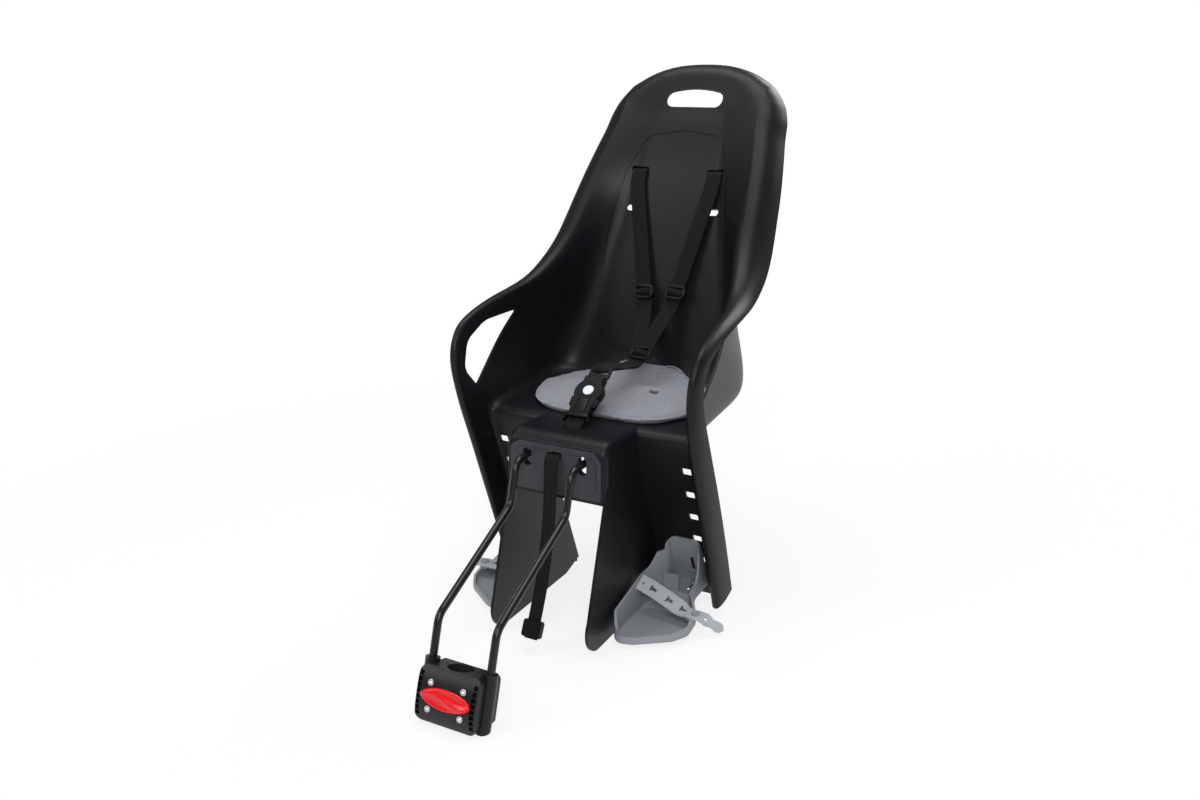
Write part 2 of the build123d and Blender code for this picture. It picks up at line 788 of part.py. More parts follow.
# Safety strap that hangs from the fork plate, with its buckle
hang_z = strap_slot_z - 0.5
hang = [(16, hang_z), (-9.5, hang_z), (-12, 236), (-17, 176), (-46, 72), (-72, 20)]
with BuildPart() as safety_strap:
    add(ribbon([(0, y, z) for y, z in hang], (7, 60, 120, 60), safety_wide, web_thick, (1, 0, 0)))
    with BuildSketch(side_plane()):
        with Locations((nose_front_wall + slip_gap, hang_z)):
            RectangleRounded(7, strap_slot_height + 5, 2, align=(Align.MIN, Align.CENTER))
    extrude(amount=safety_wide / 2, both=True)
keep(safety_strap.part, "safety_strap")

last_run = Vector(0, hang[-2][0] - hang[-1][0], hang[-2][1] - hang[-1][1]).normalized()
tail = Plane(
    origin=Vector(0, *hang[-1]) + last_run * tail_rise, x_dir=(1, 0, 0), z_dir=(0, -last_run.Z, last_run.Y)
)
with BuildPart() as safety_buckle:
    with BuildSketch(tail.offset(-4)):
        RectangleRounded(29, 24, 4)
    extrude(amount=8)
    with BuildSketch(Plane(origin=tail.origin, x_dir=tail.x_dir, z_dir=tail.y_dir)):
        Rectangle(safety_wide + 2 * run_gap, web_thick + 1.4)
    extrude(amount=40, both=True, mode=Mode.SUBTRACT)
keep(safety_buckle.part, "safety_buckle")

# Seat pad, a soft sheet that follows the pan and turns up the back
with BuildPart() as seat_pad:
    add(relief(run_gap, pad_thick))
    with BuildSketch(draw.offset(-300)):
        with BuildLine():
            half_pad = [(0, -109), (62, -109), (108, -95), (136, -60), (134, -24)]
            half_pad += [(108, -4), (82, 6), (56, 22), (0, 26)]
            Spline(*half_pad, tangents=[(1, 0), (-1, 0)])
            Spline(*[(-x, s) for x, s in half_pad], tangents=[(-1, 0), (1, 0)])
        make_face()
    extrude(amount=800, mode=Mode.INTERSECT)
    with BuildSketch(draw.offset(-300)):
        with Locations((-pad_slot_x, pad_slot_along), (pad_slot_x, pad_slot_along)):
            RectangleRounded(pad_slot_long, pad_slot_wide, 1)
    extrude(amount=800, mode=Mode.SUBTRACT)
keep(seat_pad.part, "seat_pad")

# Harness: two shoulder straps that meet above the pad, with sliders and anchor bars
def slider(plane):
    """Oval frame with one cross bar."""
    with BuildPart() as frame:
        with BuildSketch(plane):
            SlotOverall(slider_long, slider_short)
            with Locations((0, slider_short * 0.2), (0, -slider_short * 0.2)):
                RectangleRounded(web_wide, slider_short * 0.24, 2, mode=Mode.SUBTRACT)
        extrude(amount=slider_thick)
        chamfer(frame.faces().sort_by(Axis(plane.origin, plane.z_dir))[-1].outer_wire().edges(), 1)
    return frame.part


def anchor_bar(plane):
    """Flat bar with a slot, through which a strap end is pulled."""
    with BuildPart() as bar:
        with BuildSketch(plane):
            SlotOverall(web_wide + 17, 15)
            Rectangle(web_wide + 2 * run_gap, web_thick + 2 * run_gap, mode=Mode.SUBTRACT)
        extrude(amount=anchor_thick)
    return bar.part


def strap_plane(strap, point, lift):
    """Plane on the front of a strap beside a point of its middle line."""
    near = [f for f in strap.faces() if f.distance_to(point) < web_thick and f.normal_at(point).Y < -0.3]
    wide = max(near, key=lambda f: f.area)
    face = wide.normal_at(point)
    across = face.cross(Vector(0, face.Z, -face.Y)).normalized()
    if across.X < 0:
        across = -across
    return Plane(origin=point + face * lift, x_dir=across, z_dir=face)


def back_plane(along):
    """Plane on the front face of the back, on its centre line."""
    here = draw.from_local_coords(Vector(0, along, floor_height(along)))
    above = draw.from_local_coords(Vector(0, along + 5, floor_height(along + 5)))
    return Plane(origin=here, x_dir=(1, 0, 0), z_dir=Vector(1, 0, 0).cross(above - here).normalized())


merge = Vector(0, 245, 332)
buckle_tilt = math.radians(buckle_rise)
buckle = Plane(
    origin=(0, buckle_y, buckle_z), x_dir=(1, 0, 0), z_dir=(0, -math.sin(buckle_tilt), math.cos(buckle_tilt))
)
tongue_end = buckle.from_local_coords(Vector(0, tongue_bar, 0))
for side, name, glide, stack in (
    (1, "left", Vector(33, 323, 434), 0.0),
    (-1, "right", Vector(-23, 326, 430), 3.2),
):
    seat = back_plane(upper_slot_along)
    mouth = seat.from_local_coords(Vector(side * slot_x, 0, 4))
    below = seat.from_local_coords(Vector(side * slot_x, -24, 4))
    behind = seat.from_local_coords(Vector(side * slot_x, 0, -shell_wall - anchor_thick - 7))
    meet = merge + Vector(0, 0.8, -0.6) * stack
    turn = below + (glide - below) * 1.12
    run = [behind, mouth, below, turn, meet]
    bends = [6, 60, 40]
    if side == 1:
        run.append(tongue_end + Vector(0, 7, 0.4))
        bends.append(16)
    strap = ribbon(run, bends, web_wide, web_thick, (1, 0, 0))
    keep(strap, f"shoulder_strap_{name}")
    hold = seat.offset(-shell_wall - 1).from_local_coords(Vector(side * slot_x, 0, 0))
    keep(anchor_bar(Plane(origin=hold, x_dir=(1, 0, 0), z_dir=-seat.z_dir)), f"shoulder_anchor_{name}")
    lift = web_thick / 2 + run_gap
    keep(slider(strap_plane(strap, glide, lift)), f"strap_slider_{name}")
    if side == 1:
        keep(slider(strap_plane(strap, turn + (meet - turn) * 0.81, lift)), "merge_slider")

# Buckle with a round press button
buckle_end = -buckle_long * 0.6
with BuildPart() as buckle_body:
    with BuildSketch(buckle.offset(-buckle_thick / 2)):
        with Locations((0, press_along)):
            Circle(buckle_wide / 2)
        with BuildLine():
            Polyline(
                (-buckle_wide * 0.45, press_along - 6),
                (buckle_wide * 0.45, press_along - 6),
                (buckle_wide * 0.33, buckle_end),
                (-buckle_wide * 0.33, buckle_end),
                close=True,
            )
        make_face()
        with Locations((0, press_along + 15)):
            Rectangle(buckle_wide * 0.72, 22)
    extrude(amount=buckle_thick)
    rim = buckle_body.faces().sort_by(Axis(buckle.origin, buckle.z_dir))
    chamfer(rim[-1].edges() + rim[0].edges(), 1.5)
    with BuildSketch(buckle.offset(buckle_thick / 2)):
        with Locations((0, press_along)):
            Circle(press_r + run_gap)
    extrude(amount=-(press_thick - press_proud + press_travel + run_gap), mode=Mode.SUBTRACT)
    with BuildSketch(buckle.offset(-buckle_thick / 2 + 1.8)):
        with Locations((0, press_along + 14)):
            Rectangle(tongue_wide + 2 * run_gap, 80, align=(Align.CENTER, Align.MIN))
    extrude(amount=tongue_thick + 2 * slip_gap, mode=Mode.SUBTRACT)
keep(buckle_body.part, "buckle_body")
with BuildPart() as buckle_tongue:
    with BuildSketch(buckle.offset(-buckle_thick / 2 + 1.8 + slip_gap)):
        with BuildLine():
            FilletPolyline(
                (-tongue_wide / 2, press_along + 14.5),
                (tongue_wide / 2, press_along + 14.5),
                (tongue_wide / 2, press_along + 27),
                (web_wide / 2 + 4, press_along + 30),
                (web_wide / 2 + 4, tongue_bar + 4),
                (-web_wide / 2 - 4, tongue_bar + 4),
                (-web_wide / 2 - 4, press_along + 30),
                (-tongue_wide / 2, press_along + 27),
                radius=1.5,
                close=True,
            )
        make_face()
        with Locations((0, tongue_bar - 4)):
            RectangleRounded(web_wide + 1, 6, 1, mode=Mode.SUBTRACT)
    extrude(amount=tongue_thick)
keep(buckle_tongue.part, "buckle_tongue")
with BuildPart() as buckle_button:
    with BuildSketch(buckle.offset(buckle_thick / 2 + press_proud)):
        with Locations((0, press_along)):
            Circle(press_r)
    extrude(amount=-press_thick)
    fillet(buckle_button.faces().sort_by(Axis(buckle.origin, buckle.z_dir))[-1].edges(), 0.8)
keep(buckle_button.part, "buckle_button")

# Crotch strap, from a bar under the nose up to the buckle
strap_foot = buckle.from_local_coords(Vector(0, buckle_end - slip_gap, 0))
crotch_run = [(0, crotch_y, nose_top_z - 22), (0, crotch_y, nose_top_z - 2), tuple(strap_foot)]
keep(ribbon(crotch_run, 6, web_wide, web_thick, (1, 0, 0)), "crotch_strap")
under_z = nose_line(crotch_y) - nose_wall - 1.5
under_nose = Plane(origin=(0, crotch_y, under_z), x_dir=(1, 0, 0), z_dir=(0, 0, -1))
keep(anchor_bar(under_nose), "crotch_anchor")


def behind_wall(gap):
    """Corners of everything behind a line parallel to the leg's back wall, seen from the side."""
    return [(leg_wall_y(-60) - gap, -60), (leg_wall_y(320) - gap, 320), (500, 320), (500, -60)]


def tray_plan(side):
    """Plan of a footrest: straight inner wall, round toe and a narrower heel."""
    outline = [
        (tray_heel, 240),
        (tray_heel, 150),
        (tray_in, 104),
        (tray_in, 14),
        (tray_in + 12, -7),
        (tray_in + 36, -1),
        (tray_out - 14, 32),
        (tray_out, 56),
        (tray_out - 3, 92),
        (tray_back + 2, 120),
        (tray_back, 240),
    ]
    with BuildSketch(Plane.XY) as plan:
        with BuildLine():
            FilletPolyline(*[(side * x, y) for x, y in outline], radius=(30, 40, 16, 14, 30, 24, 20, 20, 14))
            Line((side * tray_back, 240), (side * tray_heel, 240))
        make_face()
    return plan.sketch


def heel_ramp(level):
    """Corners of everything under a floor that rises to the heel, seen from the side."""
    step = [(heel_y, level), (heel_y + heel_run, level + heel_rise), (300, level + heel_rise)]
    return step + [(300, -60), (heel_y, -60)]


# Footrests, each with its strap
for side, name in ((1, "left"), (-1, "right")):
    with BuildPart() as hollow:
        with BuildSketch(Plane.XY.offset(tray_bottom + tray_wall)):
            add(tray_plan(side))
            offset(amount=-tray_wall, mode=Mode.REPLACE)
        extrude(amount=tray_top)
        foot = hollow.edges().group_by(Axis.Z)[0].filter_by(lambda e: e.center().Y < 230)
        fillet(foot, tray_foot_round - 2)
        for corners in (
            behind_wall(tray_gap + tray_wall / math.cos(math.radians(leg_lean))),
            heel_ramp(tray_bottom + tray_wall),
        ):
            with BuildSketch(side_plane()):
                with BuildLine():
                    Polyline(*corners, close=True)
                make_face()
            extrude(amount=300, both=True, mode=Mode.SUBTRACT)
    with BuildPart() as footrest:
        with BuildSketch(Plane.XY.offset(tray_bottom)):
            add(tray_plan(side))
        extrude(amount=tray_top - tray_bottom)
        foot = footrest.edges().group_by(Axis.Z)[0].filter_by(lambda e: e.center().Y < 235)
        fillet(foot, tray_foot_round)
        for corners in (behind_wall(tray_gap), heel_ramp(tray_bottom)):
            with BuildSketch(side_plane()):
                with BuildLine():
                    Polyline(*corners, close=True)
                make_face()
            extrude(amount=300, both=True, mode=Mode.SUBTRACT)
        add(hollow.part, mode=Mode.SUBTRACT)
        # Top edge of the inner wall
        with BuildSketch(side_plane()):
            with BuildLine():
                FilletPolyline(
                    (-80, 25),
                    (-4, 27),
                    (12, 44),
                    (82, 59),
                    (116, 66),
                    (147, tray_top + 1),
                    (147, 260),
                    (-80, 260),
                    radius=(1, 14, 24, 40, 30, 1, 1, 1),
                    close=True,
                )
            make_face()
        extrude(amount=300, both=True, mode=Mode.SUBTRACT)
        # Toe lip
        with BuildSketch(side_plane(side * (tray_in + 14))):
            with BuildLine():
                Polyline((-80, 18), (30, 18), (62, 21), (62, 260), (-80, 260), close=True)
            make_face()
        extrude(amount=side * 200, mode=Mode.SUBTRACT)
        # Outer wall, low where the strap crosses it
        with BuildSketch(side_plane(side * (tray_heel + 10))):
            with BuildLine():
                Polyline(
                    (60, 21),
                    (stud_y - 12, shelf_z),
                    (stud_y + 13, shelf_z),
                    (stud_y + 20, shelf_z + 8),
                    (140, 47),
                    (147, 60),
                    (147, 260),
                    (60, 260),
                    close=True,
                )
            make_face()
        extrude(amount=side * 200, mode=Mode.SUBTRACT)
        # Round shoulders of the back plate
        with BuildSketch(front_plane(180)):
            with Locations((side * (tray_heel + tray_back) / 2, tray_top)):
                Rectangle(tray_back - tray_heel + 30, 3 * tray_top_round)
            with Locations((side * (tray_heel + tray_back) / 2, tray_top - 2 * tray_top_round)):
                RectangleRounded(
                    tray_back - tray_heel, 4 * tray_top_round, tray_top_round, mode=Mode.SUBTRACT
                )
        extrude(amount=70, mode=Mode.SUBTRACT)
        # Shelf and stud for the strap
        with BuildSketch(Plane.XY.offset(shelf_z)):
            with Locations((side * (tray_out - 5), stud_y)):
                RectangleRounded(13, 24, 3)
        extrude(amount=-tray_wall)
        with BuildSketch(Plane.XY.offset(shelf_z)):
            with Locations((side * stud_x, stud_y)):
                Circle(stud_r)
        extrude(amount=strap_thick + 2)
        with BuildSketch(Plane.XY.offset(shelf_z + strap_thick + 2 * run_gap)):
            with Locations((side * stud_x, stud_y)):
                Circle(stud_r * 1.9)
        extrude(amount=2)
        # Heel rib and the slots through floor and back
        with BuildSketch(Plane.XY.offset(tray_bottom + heel_rise + 1)):
            with Locations((side * tray_heel, heel_y + heel_run + 2)):
                Rectangle(24, tray_wall, align=(Align.MIN if side == 1 else Align.MAX, Align.CENTER))
        extrude(amount=heel_rib_top - tray_bottom - heel_rise - 1)
        with BuildSketch(Plane.XY):
            with Locations((side * (tray_heel + 33), heel_y + heel_run + 26)):
                SlotOverall(26, 6, rotation=90)
        extrude(amount=tray_bottom + heel_rise + 2 * tray_wall, mode=Mode.SUBTRACT)
        with BuildSketch(wall_plane(side * (tray_heel + 34), 63)):
            SlotOverall(30, 6, rotation=90)
        extrude(amount=20, both=True, mode=Mode.SUBTRACT)
    keep(footrest.part, f"footrest_{name}")

    flat_z = shelf_z + 2 * slip_gap + strap_thick / 2
    strap_run = [
        (tray_in + tray_wall + slip_gap, strap_y, strap_z),
        (tray_in + 18, strap_y, strap_z),
        (stud_x - 12, stud_y, flat_z),
        (stud_x + 10, stud_y, flat_z),
        (215, 97, 8),
    ]
    with BuildPart() as foot_strap:
        route = [(side * x, y, z) for x, y, z in strap_run]
        add(ribbon(route, (24, 25, 16), strap_wide, strap_thick, (0, 1, 0)))
        tip = foot_strap.faces().sort_by(Axis.X)[-1 if side == 1 else 0]
        fillet(tip.edges().sort_by(SortBy.LENGTH)[:2], strap_wide * 0.47)
        with BuildSketch(Plane.XY.offset(shelf_z - 2)):
            with Locations((side * stud_x, stud_y)):
                Circle(stud_r + run_gap)
        extrude(amount=10, mode=Mode.SUBTRACT)
        low, high = Vector(*strap_run[1]), Vector(*strap_run[2])
        for share in (0.3, 0.5, 0.7):
            spot = low + (high - low) * share
            with BuildSketch(Plane.XY.offset(spot.Z - 20)):
                with Locations((side * spot.X, spot.Y)):
                    Rectangle(2.5, 8)
                    Rectangle(6, 3)
            extrude(amount=40, mode=Mode.SUBTRACT)
        with BuildSketch(Plane.XY):
            with Locations((side * (tray_in + 10), strap_y), (side * (stud_x + 22), stud_y + 6)):
                Circle(2)
        extrude(amount=80, mode=Mode.SUBTRACT)
    keep(foot_strap.part, f"foot_strap_{name}")

# Write every piece with the floor point under the middle of the seat as origin
boxes = [part.bounding_box() for part in pieces.values()]
middle_y = (min(box.min.Y for box in boxes) + max(box.max.Y for box in boxes)) / 2
lowest_z = min(box.min.Z for box in boxes)
print("shift to the shared origin:", -middle_y, -lowest_z)
os.makedirs("parts", exist_ok=True)
for name, part in pieces.items():
    placed = part.moved(Location((0, -middle_y, -lowest_z)))
    placed.label = name
    export_step(placed, f"parts/{name}.step")
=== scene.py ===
import bpy
import bmesh
import json
import math
import numpy as np
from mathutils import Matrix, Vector
from mathutils.bvhtree import BVHTree


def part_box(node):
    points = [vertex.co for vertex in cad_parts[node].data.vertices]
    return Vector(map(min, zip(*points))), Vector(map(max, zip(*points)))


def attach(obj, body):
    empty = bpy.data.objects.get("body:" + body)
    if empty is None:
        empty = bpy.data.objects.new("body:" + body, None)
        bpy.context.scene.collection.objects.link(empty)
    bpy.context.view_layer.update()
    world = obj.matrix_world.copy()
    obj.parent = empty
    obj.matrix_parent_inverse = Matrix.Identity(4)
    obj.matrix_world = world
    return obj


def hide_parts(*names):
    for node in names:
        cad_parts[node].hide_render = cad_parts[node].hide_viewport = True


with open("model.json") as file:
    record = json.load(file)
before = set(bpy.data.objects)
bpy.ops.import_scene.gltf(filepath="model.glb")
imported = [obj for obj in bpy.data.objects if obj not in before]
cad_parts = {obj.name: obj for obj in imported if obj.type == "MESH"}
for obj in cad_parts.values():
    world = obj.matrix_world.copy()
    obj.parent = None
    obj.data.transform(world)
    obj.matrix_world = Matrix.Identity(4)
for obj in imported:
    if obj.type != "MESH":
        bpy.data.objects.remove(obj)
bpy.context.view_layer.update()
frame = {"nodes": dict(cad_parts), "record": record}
nodes = frame["nodes"]
scene = bpy.context.scene

# The part's working millimetres in metres of the shared frame, from the back and foot of the fork plate
plate_back_y, plate_foot_z = 0.00495, 0.209
plate_low, plate_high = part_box("fork_plate")
shift = Vector((0, plate_high.y - plate_back_y, plate_low.z - plate_foot_z))


def at(x, y, z):
    """A point given in the part's working millimetres."""
    return Vector((x, y, z)) / 1000 + shift


# Camera at the photograph's angle, for a 1200 by 800 frame
frame_wide, focal_pixels, sensor_wide = 1200, 1050, 36
azimuth, pitch = math.radians(27.794), math.radians(17.526)
level = math.cos(pitch)
forward = Vector((-math.sin(azimuth) * level, math.cos(azimuth) * level, -math.sin(pitch)))
camera = bpy.data.objects.new("camera", bpy.data.cameras.new("camera"))
camera.location = at(677.99, -1153.83, 766.39)
camera.rotation_euler = forward.to_track_quat("-Z", "Y").to_euler()
camera.data.sensor_width = sensor_wide
camera.data.lens = sensor_wide * focal_pixels / frame_wide
scene.collection.objects.link(camera)
scene.camera = camera


# Materials
def new_material(name):
    mat = bpy.data.materials.new(name)
    mat.use_nodes = True
    tree = mat.node_tree
    shader = tree.nodes["Principled BSDF"]
    return mat, tree, shader


def link(tree, a, b):
    tree.links.new(a, b)


def noise_node(tree, scale, detail=3.0, vector=None, rough=0.5):
    node = tree.nodes.new("ShaderNodeTexNoise")
    node.inputs["Scale"].default_value = scale
    node.inputs["Detail"].default_value = detail
    node.inputs["Roughness"].default_value = rough
    if vector is not None:
        link(tree, vector, node.inputs["Vector"])
    return node


def ramp_node(tree, source, stops):
    node = tree.nodes.new("ShaderNodeValToRGB")
    while len(node.color_ramp.elements) < len(stops):
        node.color_ramp.elements.new(0.5)
    for element, (place, value) in zip(node.color_ramp.elements, stops):
        element.position = place
        element.color = value if len(value) == 4 else (*value, 1)
    link(tree, source, node.inputs["Fac"])
    return node


def range_node(tree, source, low, high):
    node = tree.nodes.new("ShaderNodeMapRange")
    node.inputs["To Min"].default_value = low
    node.inputs["To Max"].default_value = high
    link(tree, source, node.inputs["Value"])
    return node


def bump_node(tree, height, strength, distance, before=None):
    node = tree.nodes.new("ShaderNodeBump")
    node.inputs["Strength"].default_value = strength
    node.inputs["Distance"].default_value = distance
    link(tree, height, node.inputs["Height"])
    if before is not None:
        link(tree, before, node.inputs["Normal"])
    return node


def object_coords(tree):
    return tree.nodes.new("ShaderNodeTexCoord").outputs["Object"]


def math_node(tree, operation, first, second=None):
    """Value of a sum on one socket, or on a socket and another socket or number."""
    node = tree.nodes.new("ShaderNodeMath")
    node.operation = operation
    link(tree, first, node.inputs[0])
    if isinstance(second, float):
        node.inputs[1].default_value = second
    elif second is not None:
        link(tree, second, node.inputs[1])
    return node.outputs["Value"]


def shades(color, *factors):
    """The colour made darker or lighter by each factor."""
    return [tuple(min(1, c * f) for c in color) for f in factors]


def plastic(name, color, rough, grain=2600.0, grain_strength=0.12, spread=0.12, coat=0.0, spec=0.3):
    """Moulded plastic: fine grain, slow change of gloss and a little change of tone."""
    mat, tree, shader = new_material(name)
    coords = object_coords(tree)
    slow = noise_node(tree, 9.0, 4.0, coords)
    fine = noise_node(tree, grain, 2.0, coords)
    dark, light = shades(color, 1 - spread, 1 + spread)
    tone = ramp_node(tree, slow.outputs["Fac"], [(0.3, dark), (0.7, light)])
    link(tree, tone.outputs["Color"], shader.inputs["Base Color"])
    gloss = range_node(tree, slow.outputs["Fac"], rough * 0.9, rough * 1.1)
    link(tree, gloss.outputs["Result"], shader.inputs["Roughness"])
    grain_bump = bump_node(tree, fine.outputs["Fac"], grain_strength, 0.0004)
    link(tree, grain_bump.outputs["Normal"], shader.inputs["Normal"])
    shader.inputs["IOR"].default_value = 1.5
    shader.inputs["Specular IOR Level"].default_value = spec
    shader.inputs["Coat Weight"].default_value = coat
    shader.inputs["Coat Roughness"].default_value = 0.08
    return mat


def metal(name, color, rough, scale=500.0):
    """Bright metal with fine turning marks."""
    mat, tree, shader = new_material(name)
    marks = noise_node(tree, scale, 3.0, object_coords(tree))
    dark, light = shades(color, 0.85, 1)
    tone = ramp_node(tree, marks.outputs["Fac"], [(0.3, dark), (0.7, light)])
    link(tree, tone.outputs["Color"], shader.inputs["Base Color"])
    gloss = range_node(tree, marks.outputs["Fac"], rough * 0.8, rough * 1.25)
    link(tree, gloss.outputs["Result"], shader.inputs["Roughness"])
    shader.inputs["Metallic"].default_value = 1.0
    return mat


def webbing(name, color, pitch=0.0021, chevron=0.0042):
    """Woven strap: ribs in chevrons along the strap, from the piece's own UV in metres."""
    mat, tree, shader = new_material(name)
    uv = tree.nodes.new("ShaderNodeTexCoord").outputs["UV"]
    split = tree.nodes.new("ShaderNodeSeparateXYZ")
    link(tree, uv, split.inputs["Vector"])
    fold = math_node(tree, "PINGPONG", split.outputs["X"], chevron)
    slant = math_node(tree, "ADD", split.outputs["Y"], fold)
    turns = math_node(tree, "MULTIPLY", slant, 2 * math.pi / pitch)
    wave = math_node(tree, "SINE", turns)
    fuzz = noise_node(tree, 3500.0, 2.0, object_coords(tree))
    dark, light = shades(color, 0.4, 1)
    # The rib wave also darkens the colour to four tenths in the grooves between the ribs: painted shade
    # in the weave's grooves.
    tone = ramp_node(tree, wave, [(0.0, dark), (0.9, light)])
    link(tree, tone.outputs["Color"], shader.inputs["Base Color"])
    ribs = bump_node(tree, wave, 0.45, 0.0004)
    thread = bump_node(tree, fuzz.outputs["Fac"], 0.25, 0.0003, ribs.outputs["Normal"])
    link(tree, thread.outputs["Normal"], shader.inputs["Normal"])
    shader.inputs["Roughness"].default_value = 0.72
    shader.inputs["Specular IOR Level"].default_value = 0.16
    shader.inputs["Sheen Weight"].default_value = 0.03
    shader.inputs["Sheen Roughness"].default_value = 0.5
    return mat


def felt(name, color):
    """Heathered felt: short mixed fibres with a soft nap."""
    mat, tree, shader = new_material(name)
    coords = object_coords(tree)
    patch = noise_node(tree, 190.0, 4.0, coords, 0.6)
    fibre = noise_node(tree, 1100.0, 5.0, coords, 0.75)
    mixed = tree.nodes.new("ShaderNodeMix")
    mixed.data_type = "FLOAT"
    mixed.inputs["Factor"].default_value = 0.6
    link(tree, patch.outputs["Fac"], mixed.inputs["A"])
    link(tree, fibre.outputs["Fac"], mixed.inputs["B"])
    dark, light = shades(color, 0.74, 1.26)
    tone = ramp_node(tree, mixed.outputs["Result"], [(0.36, dark), (0.5, color), (0.64, light)])
    link(tree, tone.outputs["Color"], shader.inputs["Base Color"])
    nap = bump_node(tree, fibre.outputs["Fac"], 0.5, 0.0006)
    link(tree, nap.outputs["Normal"], shader.inputs["Normal"])
    shader.inputs["Roughness"].default_value = 0.92
    shader.inputs["Sheen Weight"].default_value = 0.25
    shader.inputs["Sheen Roughness"].default_value = 0.6
    return mat


shell_black = plastic("shell_black", (0.0074, 0.0074, 0.0096), 0.38, grain_strength=0.04, spec=0.21)
trim_black = plastic("trim_black", (0.0045, 0.0045, 0.0052), 0.36, spec=0.17)
# Fork plate plastic about five times lighter than the shell: partly the plate's own dark grey, partly
# painted light for the light falling on its front, which faces the camera.
plate_grey_lit = plastic("plate_grey_lit", (0.036, 0.037, 0.044), 0.5)
block_black = plastic("block_black", (0.0062, 0.0062, 0.007), 0.36, spec=0.32)
rod_black = plastic(
    "rod_black", (0.005, 0.005, 0.0055), 0.3, grain=1500.0, grain_strength=0.05, spec=0.36, coat=0.15
)
rubber_black = plastic("rubber_black", (0.01, 0.01, 0.01), 0.7, spec=0.2)
red_gloss = plastic("red_gloss", (0.7, 0.006, 0.008), 0.24, grain_strength=0.02, spread=0.05, coat=0.25)
pale_grey = plastic("pale_grey", (0.66, 0.7, 0.74), 0.35, grain_strength=0.04, spread=0.04)
mid_grey = plastic("mid_grey", (0.275, 0.29, 0.31), 0.5, spread=0.05)
strap_grey = plastic("strap_grey", (0.4, 0.415, 0.435), 0.55, spread=0.05)
bright_steel = metal("bright_steel", (0.68, 0.68, 0.7), 0.28)
web_black = webbing("web_black", (0.0072, 0.0072, 0.0084))
felt_grey = felt("felt_grey", (0.198, 0.203, 0.234))

# Material of each slot that the record names
by_slot = {
    "shell_black": shell_black,
    "trim_black": trim_black,
    "block_black": block_black,
    "rod_black": rod_black,
    "steel": bright_steel,
    "rubber": rubber_black,
    "red": red_gloss,
    "webbing": web_black,
    "felt": felt_grey,
    "pale_grey": pale_grey,
    "mid_grey": mid_grey,
    "strap_grey": strap_grey,
}
for entry in frame["record"]["subparts"]:
    node = nodes[entry["node"]]
    node.data.materials.clear()
    node.data.materials.append(by_slot[entry["material_slot"]])
nodes["fork_plate"].data.materials[0] = plate_grey_lit

tiny = 1e-9
sharp_angle = math.radians(40)


# Helpers for the pieces made here
def linked(name, mesh):
    """A new object of the scene with this mesh."""
    obj = bpy.data.objects.new(name, mesh)
    scene.collection.objects.link(obj)
    return obj


def applied(obj):
    """Puts the object's modifiers into its mesh."""
    graph = bpy.context.evaluated_depsgraph_get()
    mesh = bpy.data.meshes.new_from_object(obj.evaluated_get(graph))
    obj.modifiers.clear()
    obj.data = mesh
    return mesh


def rounded(obj, width, segments, limit):
    """Rounds the edges sharper than a limit in degrees, after the object's other modifiers."""
    edge = obj.modifiers.new("edge", "BEVEL")
    edge.width = width
    edge.segments = segments
    edge.limit_method = "ANGLE"
    edge.angle_limit = math.radians(limit)
    return applied(obj)


def cover(mesh, material):
    """Smooth faces and one material."""
    mesh.polygons.foreach_set("use_smooth", [True] * len(mesh.polygons))
    mesh.materials.clear()
    mesh.materials.append(material)


def slice_mesh(shape, place, normal):
    """Cuts the faces of an open mesh along a plane, so that they can bend there."""
    everything = shape.verts[:] + shape.edges[:] + shape.faces[:]
    bmesh.ops.bisect_plane(shape, geom=everything, plane_co=place, plane_no=normal)


def surface_tree(mesh):
    return BVHTree.FromPolygons([v.co for v in mesh.vertices], [p.vertices for p in mesh.polygons])


def ease(share):
    """Smooth step from 0 to 1."""
    return share * share * (3 - 2 * share)


def lengths_along(line):
    """Distance of each point of a line from its start."""
    run = [0.0]
    for a, b in zip(line, line[1:]):
        run.append(run[-1] + (b - a).length)
    return run


def leaning_axes(lean):
    """Across, along and out of a face that leans back from upright by some degrees."""
    turn = math.radians(lean)
    along = Vector((0, math.sin(turn), math.cos(turn)))
    return [Vector((1, 0, 0)), along, Vector((0, -math.cos(turn), math.sin(turn)))]


# Harness webbing and safety strap
web_wide, web_thick = 0.0244, 0.0016
web_step, web_join = 0.0012, 1e-5
selvedge_wide, selvedge_foot = 0.0016, 0.003
hump_flat, hump_slope = 0.0016, 0.0068


def smooth_route(points):
    """Points read from the smooth line that has the route's points as its control points."""
    curve = bpy.data.curves.new("route", "CURVE")
    curve.dimensions = "3D"
    curve.resolution_u = 14
    spline = curve.splines.new("NURBS")
    spline.points.add(len(points) - 1)
    for target, point in zip(spline.points, points):
        target.co = (*point, 1)
    spline.order_u = 3
    spline.use_endpoint_u = True
    holder = bpy.data.objects.new("route", curve)
    mesh = bpy.data.meshes.new_from_object(holder)
    line = [v.co.copy() for v in mesh.vertices]
    bpy.data.objects.remove(holder)
    bpy.data.curves.remove(curve)
    bpy.data.meshes.remove(mesh)
    return line


def web_section(wide, thick):
    """Section of a woven strap, as (across, up): flat faces, thicker selvedges and round edges."""
    half, level, ridge = wide / 2, thick / 2, thick * 0.08
    right = [(half * 0.4, level), (half - selvedge_foot, level)]
    right += [(half - selvedge_wide, level + ridge), (half - level, level + ridge)]
    top = [(-a, u) for a, u in reversed(right)] + [(0, level)] + right
    edge = [(half - thick * 0.12, thick * 0.36), (half, 0), (half - thick * 0.12, -thick * 0.36)]
    under = [(a, -u) for a, u in reversed(top)]
    return top + edge + under + [(-a, u) for a, u in reversed(edge)]


